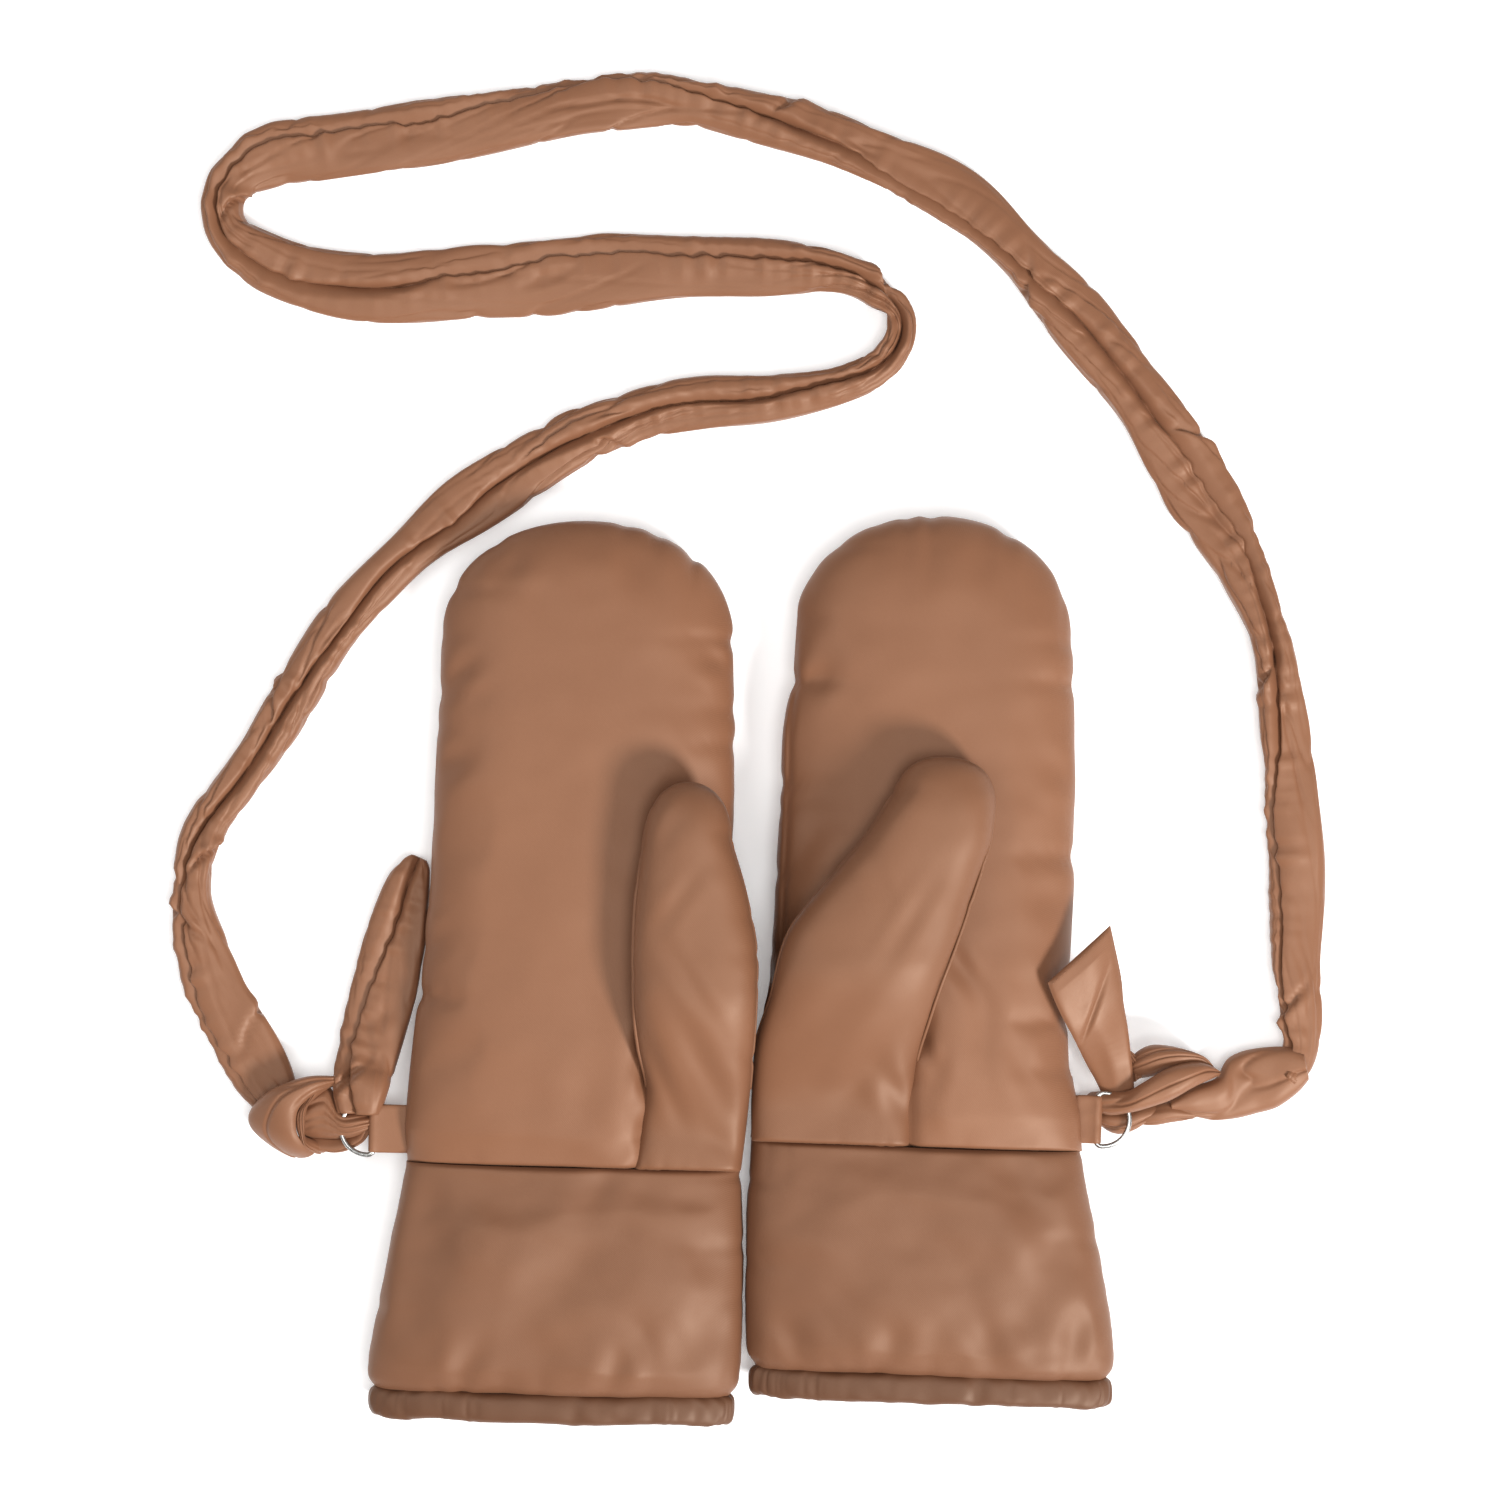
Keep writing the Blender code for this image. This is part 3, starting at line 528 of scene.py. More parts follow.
for side in ("left", "right"):
    place, mirror = mitten_frame(side)
    shape = THUMBS[side]
    form = thumb_form_for(shape)
    thumb = padded_panels(side + "_thumb_cover", form, 34, 62, mirror)
    stuff(thumb, grow=0.02, pressure=2.0, cap=0.0022, seed=shape["seed"], shake=0.0005)
    press_dents(thumb, shape["dents"], mirror, 0.024)
    smooth_finish(thumb)
    bm = bmesh.new()
    bm.from_mesh(thumb.data)
    ridge = []
    for s, ups, rise in ((-0.99999, range(26, 101), 0.003), (0.99999, range(100, 25, -1), 0.0)):
        for k in ups:
            x, y, top, under, edge, give = form(s, k / 100)
            rise_here = rise * min(1.0, (100 - k) / 12)
            x -= math.copysign(0.0002, s)
            ridge.append(Vector((x * mirror, y, (top + under) / 2 + rise_here)))
    tip = []
    for k in range(1, 60):
        s = -math.cos(math.pi * k / 60)
        x, y, top, under, edge, give = form(s, 1.0)
        tip.append(Vector((x * mirror, y, (top + under) / 2)))
    round_cord(bm, ridge[:75] + tip + ridge[75:], 0.0007)
    bmesh.ops.recalc_face_normals(bm, faces=bm.faces)
    for face in bm.faces:
        face.smooth = True
    bm.to_mesh(thumb.data)
    bm.free()
    thumb.data.transform(place)
    thumb.data.materials.append(thumb_satin)
    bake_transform(thumb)
    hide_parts(*[f"{side}_thumb_{k}" for k in (
        "root_shell", "root_wadding", "root_lining", "front_shell", "back_shell", "wadding", "lining")])


# ---- cuffs ----------------------------------------------------------------------------------
# Each cuff is a padded satin tube sewn to the hand at the cuff seam. It widens to the hem, and the
# loose padding falls into broad soft dents.

CUFF_LENGTH = 0.092
cuff_satin = fabric("cuff_satin", (0.165, 0.07, 0.035), (0.112, 0.045, 0.0225), 0.52)
CUFFS = {
    "left": {
        "seed": 51.0,
        "outer": [(-0.096, 0.08), (-0.085, 0.0802), (-0.05, 0.075), (-0.02, 0.0695), (0.0, 0.0668)],
        "inner": [(-0.096, 0.0672), (-0.085, 0.0682), (-0.04, 0.0685), (0.0, 0.0672)],
        "dents": [(0.011, -0.008, 60, 0.011, 0.0047, 0.0014), (-0.002, -0.045, 52, 0.048, 0.0121, 0.0019),
                  (-0.04, -0.079, 62, 0.01, 0.0047, 0.0019), (0.019, -0.079, 72, 0.011, 0.0043, 0.002),
                  (0.031, -0.07, 112, 0.01, 0.0038, 0.0014), (0.046, -0.028, 135, 0.032, 0.0121, 0.0014),
                  (-0.058, -0.04, 80, 0.034, 0.0095, 0.0015), (0.004, -0.068, 20, 0.023, 0.0081, 0.001),
                  (-0.02, -0.022, 140, 0.021, 0.0095, 0.0009), (0.052, -0.06, 60, 0.021, 0.0081, 0.0011)],
    },
    "right": {
        "seed": 66.0,
        "outer": [(-0.093, 0.0822), (-0.08, 0.0817), (-0.045, 0.0752), (-0.01, 0.0675), (0.0, 0.066)],
        "inner": [(-0.096, 0.064), (-0.08, 0.065), (-0.04, 0.0662), (0.0, 0.0662)],
        "dents": [(-0.046, -0.022, 60, 0.021, 0.0068, 0.0016), (-0.052, -0.05, 120, 0.023, 0.0081, 0.0017),
                  (-0.01, -0.04, 35, 0.041, 0.0121, 0.0015), (0.03, -0.06, 140, 0.034, 0.0108, 0.0014),
                  (-0.03, -0.076, 70, 0.014, 0.0054, 0.0016), (0.008, -0.08, 100, 0.01, 0.0047, 0.0015),
                  (0.046, -0.08, 60, 0.011, 0.0054, 0.0016), (0.04, -0.022, 60, 0.025, 0.0095, 0.0011),
                  (-0.066, -0.078, 80, 0.014, 0.0054, 0.0014)],
    },
}
CUFF_THICK = [(-0.094, 0.027), (-0.084, 0.029), (-0.045, 0.032), (-0.015, 0.0318), (0.0, 0.0312)]


def cuff_form_for(shape):
    """The cuff's outline, its gathers over the hem and its puckers under the cuff seam."""
    seed = shape["seed"]

    def cuff_form(s, t):
        y = -CUFF_LENGTH + (CUFF_LENGTH - 0.0002) * t
        outer = smooth_value(shape["outer"], y) - 0.0008 * notch(y, 0.019, 0.0022, seed)
        inner = smooth_value(shape["inner"], y) - 0.0009 * notch(y, 0.017, 0.0022, seed + 5)
        thick = smooth_value(CUFF_THICK, y)
        crown = (1 - abs(s) ** 3.2) ** (1 / 2.4)
        tuck = 1 - 0.045 * math.exp(-((y + CUFF_LENGTH) / 0.0035) ** 2)
        x = (inner - outer) / 2 + s * (inner + outer) / 2 * tuck
        middle = thick * 0.48
        turn = end_round(-y, 0.0026)
        low_turn = end_round(y + CUFF_LENGTH, 0.0060)
        top = middle + (thick - middle) * crown * (0.76 + 0.24 * turn) * (0.60 + 0.40 * low_turn)
        top += crown * turn * soft_waves(x, y, seed, 0.0017)
        top -= 0.0008 * notch(x, 0.0075, 0.0012, seed + 60) * math.exp(y / 0.005) * crown
        gather = notch(x, 0.0105, 0.0016, seed + 80) * math.exp(-(y + CUFF_LENGTH) / 0.008)
        top -= 0.0026 * gather * crown
        top -= 0.0010 * notch(x, 0.0050, 0.0010, seed + 90) * math.exp(-(y + CUFF_LENGTH) / 0.0035) * crown
        under = max(0.0004, middle - (middle + 0.002) * crown)
        edge = 1.0 if t > 0.9999 or t < 0.0001 else (0.8 if abs(s) > 0.9999 else 0.0)
        give = min(ramp(-y - 0.001, 0.034), ramp(y + CUFF_LENGTH, 0.018))
        give = ease(give) * (1 - 0.85 * abs(s) ** 8)
        return x, y, top, under, edge, give

    return cuff_form


for side in ("left", "right"):
    place, mirror = mitten_frame(side)
    shape = CUFFS[side]
    cuff = padded_panels(side + "_cuff", cuff_form_for(shape), 60, 52, mirror, open_end=True)
    stuff(cuff, grow=0.05, pressure=1.6, cap=0.0030, seed=shape["seed"])
    press_dents(cuff, shape["dents"], mirror, 0.018)
    cuff.data.transform(place)
    smooth_finish(cuff)
    cuff.data.materials.append(cuff_satin)
    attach(cuff, side + "_mitten")
    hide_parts(*[f"{side}_cuff_{k}" for k in (
        "palm_shell", "back_shell", "palm_wadding", "back_wadding")])


# ---- hems and linings -----------------------------------------------------------------------
# The hem is a folded satin band round the cuff's mouth, gathered a little by its seam. The lining
# is a plain satin bag that starts under the hem and goes up into the hand.

HEM_HEIGHT = 0.0118
HEM_THICK = 0.0072
HEM_STEPS = 360
HEM_SIDES = 18
LINING_STEPS = 96
# up the lining: place, and how far inside the cuff's outside it is
LINING_ROWS = [(-CUFF_LENGTH - 0.006, 0.0042), (-0.08, 0.0075), (-0.05, 0.0085),
               (-0.01, 0.009), (0.02, 0.0093), (0.04, 0.01)]
# The hem's satin is a darker copy of the brown satin: painted shade, for the hem's rounded face that turns
# down and away from the light.
hem_satin_painted_shade = fabric("hem_satin_painted_shade", (0.1, 0.041, 0.02), (0.066, 0.026, 0.013), 0.5)
lining_satin = fabric("lining_satin", (0.18, 0.078, 0.044), (0.105, 0.043, 0.024), 0.5)


def mouth_point(turn, inset, side, mirror):
    """A point round the cuff's mouth, `inset` inside its outside."""
    inner, outer = CUFFS[side]["inner"][0][1], CUFFS[side]["outer"][0][1]
    centre = (inner - outer) / 2
    half = (inner + outer) / 2 - inset
    thick = CUFF_THICK[0][1]
    c, s = math.cos(turn), math.sin(turn)
    x = centre + math.copysign(abs(c) ** (2 / 2.4), c) * half
    middle = thick * 0.5
    rise = thick / 2 - inset
    z = middle + math.copysign(abs(s) ** (2 / 2.4), s) * rise
    return x * mirror, z


def closed_rows(name, rows, ring_rows=False):
    """A skin over rows of points, each row closed; the rows close too when they make a ring."""
    bm = bmesh.new()
    grid = [[bm.verts.new(p) for p in row] for row in rows]
    pairs = list(zip(grid, grid[1:] + grid[:1] if ring_rows else grid[1:]))
    for low, high in pairs:
        for i in range(len(low)):
            j = (i + 1) % len(low)
            bm.faces.new((low[i], low[j], high[j], high[i]))
    if not ring_rows:
        bm.faces.new(grid[0])
        bm.faces.new(grid[-1])
    bmesh.ops.recalc_face_normals(bm, faces=bm.faces)
    return new_mesh_object(name, bm)


for side in ("left", "right"):
    place, mirror = mitten_frame(side)
    rows = []
    for i in range(HEM_STEPS):
        turn = 2 * math.pi * i / HEM_STEPS
        stretch = turn + 0.16 * noise.noise(Vector((turn * 3.0, mirror * 5.0, 1.0)))
        gather = 0.45 * notch(stretch, 0.115, 0.020, mirror * 4.0)
        gather += 0.8 * notch(stretch, 0.31, 0.045, mirror * 8.0)
        drop = noise.noise(Vector((turn * 2.5, mirror * 3.0, 4.1))) * 0.0012
        row = []
        for k in range(HEM_SIDES):
            a = 2 * math.pi * k / HEM_SIDES
            out = math.cos(a) * HEM_THICK / 2
            if out > 0:
                out *= 1 - 0.24 * gather
                out += 0.0006 * noise.noise(Vector((turn * 9, a * 0.8, mirror * 2.0)))
            up = math.copysign(abs(math.sin(a)) ** 0.62, math.sin(a)) * HEM_HEIGHT / 2
            up += 0.0007 * gather * math.sin(a)
            x, z = mouth_point(turn, HEM_THICK / 2 - out, side, mirror)
            y = -CUFF_LENGTH - HEM_HEIGHT / 2 + 0.0012 + up + drop
            row.append(Vector((x, y, max(z, 0.0003))))
        rows.append(row)
    hem = closed_rows(side + "_hem", rows, ring_rows=True)
    hem.data.transform(place)
    smooth_finish(hem)
    # the hem gets the darker satin, which is painted shade
    hem.data.materials.append(hem_satin_painted_shade)
    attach(hem, side + "_mitten")
    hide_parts(side + "_hem_binding")

    rows = []
    for y, inset in LINING_ROWS:
        row = []
        for i in range(LINING_STEPS):
            turn = 2 * math.pi * i / LINING_STEPS
            x, z = mouth_point(turn, inset, side, mirror)
            ripple = noise.noise(Vector((turn * 5, y * 40, mirror * 2.0))) * 0.001
            shrink = 1.0 - max(0.0, y + CUFF_LENGTH) * 1.1
            row.append(Vector((x * shrink + ripple, y, max(0.003, z + ripple))))
        rows.append(row)
    lining = closed_rows(side + "_lining", rows)
    bm = bmesh.new()
    bm.from_mesh(lining.data)
    mouth = [f for f in bm.faces if len(f.verts) > 4 and f.calc_center_median().y < -0.08]
    bmesh.ops.delete(bm, geom=mouth, context="FACES_ONLY")
    bmesh.ops.reverse_faces(bm, faces=bm.faces)
    bm.to_mesh(lining.data)
    bm.free()
    lining.data.transform(place)
    smooth_finish(lining)
    lining.data.materials.append(lining_satin)
    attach(lining, side + "_mitten")
    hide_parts(side + "_palm_lining", side + "_back_lining")


# ---- ring tabs ------------------------------------------------------------------------------
# A short strip of folded brown satin, looped round the D-ring's straight bar. Both of its ends
# are sewn into the mitten's side seam.

TAB_WIDTH = 0.0195
TAB_ROOT = 0.0625  # where it goes into the side seam
TAB_LOOP = 0.0022  # radius of the loop round the bar
for side in ("left", "right"):
    place, mirror = mitten_frame(side)
    bar = place.inverted() @ Vector(swing_of(side)["pos_m"])
    edge_x = -mirror * TAB_ROOT
    profile = []
    for k in range(13):
        a = math.radians(50 + 260 * k / 12)
        profile.append((bar.x + mirror * math.cos(a) * TAB_LOOP, bar.z + math.sin(a) * TAB_LOOP))
    top = [(bar.x + (edge_x - bar.x) * t, bar.z + 0.0013) for t in (1.0, 0.7, 0.4)]
    low = [(x, bar.z * 2 - z) for x, z in reversed(top)]
    rows = []
    for k in range(25):
        across = -TAB_WIDTH / 2 + TAB_WIDTH * k / 24
        pinch = 1.0 - 0.28 * max(0.0, (abs(across) - TAB_WIDTH / 2 + 0.0015) / 0.0015)
        row = []
        for x, z in top + profile + low:
            ripple = noise.noise(Vector((across * 240, x * 300, mirror))) * 0.00025
            row.append(Vector((x, bar.y + across, bar.z + (z - bar.z) * pinch + ripple)))
        rows.append(row)
    tab = closed_rows(side + "_tab", rows)
    tab.data.transform(place)
    smooth_finish(tab)
    tab.data.materials.append(satin)
    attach(tab, side + "_mitten")
    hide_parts(side + "_ring_tab")


# ---- D-rings --------------------------------------------------------------------------------
# A ring of nickel-plated steel wire, bent to a D. Its straight bar lies in the tab's loop, and the
# strap is tied to its bow.

RING_WIRE = 0.0010
RING_RADIUS = 0.0107
RING_CORNER = 0.0025
WIRE_SIDES = 14
nickel, tree, shader = new_material("nickel")
where = tree.nodes.new("ShaderNodeTexCoord")
scratch = add_node(tree, "ShaderNodeTexNoise", {
    "Scale": 700, "Detail": 3, "Vector": where.outputs["Object"]}).outputs["Fac"]
tint = add_node(tree, "ShaderNodeMix", {
    0: scratch, 6: (0.3, 0.295, 0.285, 1), 7: (0.52, 0.51, 0.49, 1)}, data_type="RGBA")
gloss = add_node(tree, "ShaderNodeMapRange", {"To Min": 0.16, "To Max": 0.36, "Value": scratch})
set_inputs(tree, shader, {
    "Metallic": 1.0, "Base Color": tint.outputs[2], "Roughness": gloss.outputs[0]})

for side in ("left", "right"):
    place, mirror = mitten_frame(side)
    straight = RING_RADIUS - RING_CORNER
    bpy.ops.mesh.primitive_circle_add(vertices=WIRE_SIDES, radius=RING_WIRE, location=(0, RING_RADIUS, 0),
                                      rotation=(0, math.pi / 2, 0))
    ring = bpy.context.object
    bpy.ops.object.transform_apply(location=True, rotation=True, scale=True)
    bpy.ops.object.mode_set(mode="EDIT")
    bpy.ops.mesh.select_all(action="SELECT")
    bpy.ops.mesh.spin(steps=40, angle=math.pi, center=(0, 0, 0), axis=(0, 0, -1))
    bpy.ops.mesh.spin(steps=8, angle=math.pi / 2, center=(0, -straight, 0), axis=(0, 0, -1))
    bpy.ops.mesh.extrude_region_move(TRANSFORM_OT_translate={"value": (0, 2 * straight, 0)})
    bpy.ops.mesh.spin(steps=8, angle=math.pi / 2, center=(0, straight, 0), axis=(0, 0, -1))
    bpy.ops.mesh.select_all(action="SELECT")
    bpy.ops.mesh.remove_doubles(threshold=0.00002)
    bpy.ops.mesh.normals_make_consistent(inside=False)
    bpy.ops.object.mode_set(mode="OBJECT")
    bpy.ops.object.shade_smooth()
    ring.name = side + "_ring"
    bar = place.inverted() @ Vector(swing_of(side)["pos_m"])
    # it is turned so that its straight side is the bar in the tab
    ring.data.transform(Matrix.Translation((-RING_CORNER, 0, 0)))
    ring.data.transform(Matrix.Diagonal((mirror, 1, 1, 1)))
    if mirror < 0:
        ring.data.flip_normals()
    ring.data.transform(place @ Matrix.Translation(bar))
    ring.data.materials.append(nickel)
    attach(ring, "strap")
    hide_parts(side + "_d_ring")
    bpy.ops.object.select_all(action="DESELECT")


# ---- neck strap -----------------------------------------------------------------------------
# A long satin tube, turned right side out over soft stuffing. Its one lengthwise seam wanders round
# it as it lies, it is flat where it has room, and it bunches narrow where it turns over.

# x, y of the strap's middle as it lies, and how wide it lies there
STRAP_ROUTE = [
    (-0.179, -0.054, 0.015), (-0.1905, -0.04, 0.024), (-0.2035, -0.015, 0.0235),
    (-0.213, 0.008, 0.021), (-0.218, 0.032, 0.015), (-0.214, 0.056, 0.017),
    (-0.198, 0.08, 0.017), (-0.178, 0.111, 0.018), (-0.157, 0.143, 0.018), (-0.133, 0.169, 0.02),
    (-0.108, 0.189, 0.025), (-0.085, 0.204, 0.024), (-0.062, 0.217, 0.022), (-0.037, 0.226, 0.021),
    (-0.013, 0.23, 0.021), (0.014, 0.232, 0.018), (0.04, 0.2365, 0.014), (0.057, 0.244, 0.014),
    (0.0655, 0.254, 0.0125), (0.0668, 0.264, 0.013), (0.06, 0.2735, 0.0145),
    (0.04, 0.2835, 0.0165), (0.0, 0.285, 0.023), (-0.054, 0.284, 0.031), (-0.1, 0.28, 0.03),
    (-0.138, 0.277, 0.028), (-0.165, 0.279, 0.028), (-0.188, 0.287, 0.024), (-0.204, 0.3, 0.016),
    (-0.204, 0.317, 0.017), (-0.188, 0.329, 0.025), (-0.16, 0.334, 0.026), (-0.118, 0.34, 0.025),
    (-0.08, 0.346, 0.023), (-0.046, 0.352, 0.024), (-0.012, 0.35, 0.019), (0.026, 0.341, 0.021),
    (0.062, 0.328, 0.021), (0.094, 0.311, 0.025), (0.118, 0.288, 0.02), (0.144, 0.258, 0.025),
    (0.166, 0.229, 0.025), (0.187, 0.195, 0.029), (0.204, 0.166, 0.021), (0.216, 0.134, 0.016),
    (0.222, 0.096, 0.019), (0.2255, 0.06, 0.021), (0.2268, 0.03, 0.0215), (0.2264, 0.007, 0.021),
    (0.2275, -0.005, 0.019), (0.2285, -0.0185, 0.0165), (0.2285, -0.0285, 0.0135),
    (0.2262, -0.037, 0.0115), (0.2225, -0.042, 0.008),
]


def run_through(points, step):
    """Evenly spaced points on a smooth curve through the points, of any number of values each."""
    dense = []
    ends = [points[0]] + list(points) + [points[-1]]
    for a, b, c, d in zip(ends, ends[1:], ends[2:], ends[3:]):
        for k in range(24):
            t = k / 24
            dense.append([0.5 * (2 * q + (r - p) * t + (2 * p - 5 * q + 4 * r - s) * t * t
                                 + (3 * q - p - 3 * r + s) * t ** 3) for p, q, r, s in zip(a, b, c, d)])
    dense.append(list(points[-1]))
    gone = [0.0]
    for a, b in zip(dense, dense[1:]):
        gone.append(gone[-1] + math.dist(a[:3] if len(a) > 3 else a[:2], b[:3] if len(b) > 3 else b[:2]))
    count = max(2, round(gone[-1] / step))
    result, at = [], 0
    for k in range(count + 1):
        want = gone[-1] * k / count
        while at < len(gone) - 2 and gone[at + 1] < want:
            at += 1
        share = (want - gone[at]) / max(1e-9, gone[at + 1] - gone[at])
        result.append([p + (q - p) * share for p, q in zip(dense[at], dense[at + 1])])
    return result


SEAM_DEPTH = 0.0044
SEAM_WIDTH = 0.0010


def soft_ribbon(name, places, widths, thicks, normals, around, seed, seam, fold, turns=()):
    """A soft fabric tube: rows of rounded flat sections with folds, and a drawn-in seam.

    The points of each row crowd at the seam. turns are (distance along, slant, depth) of the creases
    where the strap turns over.
    """
    rows = []
    gone = 0.0
    for i, (here, width, thick, up) in enumerate(zip(places, widths, thicks, normals)):
        ahead = direction(places, i)
        if i:
            gone += (here - places[i - 1]).length
        up = (up - ahead * up.dot(ahead)).normalized()
        side = ahead.cross(up)
        row = []
        for k in range(around):
            u = k / around
            a = seam(gone) + 2 * math.pi * u - 0.62 * math.sin(2 * math.pi * u)
            c, s = math.cos(a), math.sin(a)
            x = math.copysign(abs(c) ** 0.85, c) * width / 2
            z = math.copysign(abs(s) ** 0.62, s) * thick / 2
            spread = Vector((math.cos(a) * 0.9, math.sin(a) * 0.9, gone * 21 + seed))
            crease = noise.noise(spread)
            slant = noise.noise(Vector((gone * 33 + c * 1.5 + seed, c * 1.1, 5.0)))
            slant = (1 - min(1.0, abs(slant) * 5.5)) ** 2
            mask = max(0.0, noise.noise(Vector((gone * 13, seed, 2.0))) + 0.3)
            long_fold = noise.noise(Vector((gone * 11 + seed, a * 1.2, 9.0)))
            long_fold = (1 - min(1.0, abs(long_fold) * 6.0)) ** 2
            move = crease * fold * 1.7 - slant * fold * 2.0 * mask - long_fold * fold * 0.35
            away = (a - seam(gone)) / math.pi
            away = (away - round(away / 2) * 2) * (width + thick) * 0.75
            groove = math.exp(-(away / SEAM_WIDTH) ** 2)
            swell = math.exp(-(away / 0.0060) ** 2)
            pucker = noise.noise(Vector((gone * 210, seed + 9, math.copysign(2.0, away))))
            move += -groove * SEAM_DEPTH + swell * (0.0006 + pucker * 0.0019)
            for distance, lean, depth in turns:
                off = gone - distance - x * lean
                if abs(off) < 0.012 and z > 0:
                    side_share = 1 / (1 + math.exp(-x * 500 * math.copysign(1, lean)))
                    move -= depth * math.exp(-(off / 0.0018) ** 2) * side_share
                    move += depth * 0.5 * math.exp(-((off - 0.0045) / 0.0035) ** 2) * side_share
            reach = 1 + move / max(0.004, math.hypot(x, z))
            row.append(here + side * x * reach + up * z * reach)
        rows.append(row)
    return closed_rows(name, rows)


strap_satin = fabric("strap_satin", SATIN, SATIN_DARK, 0.46)
strap_line = run_through(STRAP_ROUTE, 0.0018)
strap_widths = [p[2] for p in strap_line]
strap_thicks = [0.0160 - 0.29 * w for w in strap_widths]
strap_places = [Vector((x, y, thick / 2 + 0.0006)) for (x, y, w), thick in zip(strap_line, strap_thicks)]
strap_up = []
for i in range(len(strap_places)):
    side = Vector((0, 0, 1)).cross(direction(strap_places, i))
    tilt = noise.noise(Vector((i * 0.0315, 11.0, 0))) * 0.35
    strap_up.append(Vector((0, 0, 1)) * math.cos(tilt) + side * math.sin(tilt))


# where the lengthwise seam is, along the strap: half a turn is one side edge, a quarter is the top
STRAP_SEAM = [(0.0, 2.55), (0.06, 2.5), (0.1, 2.25), (0.14, 1.65), (0.25, 1.35), (0.36, 1.6),
              (0.45, 1.75), (0.52, 1.3), (0.64, 1.1), (0.74, 1.8), (0.86, 2.1), (0.98, 2.3),
              (1.08, 0.9), (1.18, 1.4), (1.28, 1.9), (1.4, 0.8), (1.5, 0.6)]


def strap_seam(gone):
    return smooth_value(STRAP_SEAM, gone) + noise.noise(Vector((gone * 30, 3, 3))) * 0.28


# where the strap turns over, which way the crease leans, and its depth
STRAP_TURNS = [(-0.204, 0.306, 1.2, 0.0034), (0.066, 0.272, 1.4, 0.0034), (-0.217, 0.044, 1.3, 0.0034),
               (-0.213, 0.018, -1.2, 0.0028), (0.118, 0.288, 0.9, 0.0024), (-0.186, 0.098, -1.6, 0.0022),
               (0.218, 0.128, 1.3, 0.003), (-0.06, 0.217, 1.1, 0.0018), (0.01, 0.345, -1.0, 0.0022),
               (-0.197, -0.028, 0.8, 0.002), (0.17, 0.222, -1.1, 0.0022), (0.2275, -0.006, 1.0, 0.0024)]
turns = []
for x, y, lean, depth in STRAP_TURNS:
    nearest = min(range(len(strap_places)),
                  key=lambda i: math.hypot(strap_places[i].x - x, strap_places[i].y - y))
    reached = sum((b - a).length for a, b in zip(strap_places[:nearest], strap_places[1:nearest + 1]))
    turns.append((reached, lean, depth))
strap = soft_ribbon("neck_strap_tube", strap_places, strap_widths, strap_thicks, strap_up, 84, 1.0,
                    strap_seam, 0.0013, turns)
keep_off_floor(strap, LOWEST)
strap.data.materials.append(strap_satin)
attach(strap, "strap")
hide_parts("neck_strap")


# ---- knots ----------------------------------------------------------------------------------
# Each end of the strap goes through its D-ring and is tied with one overhand knot. Where it passes
# over itself the strap lies flat and broad, with folded edges that go under the next pass.

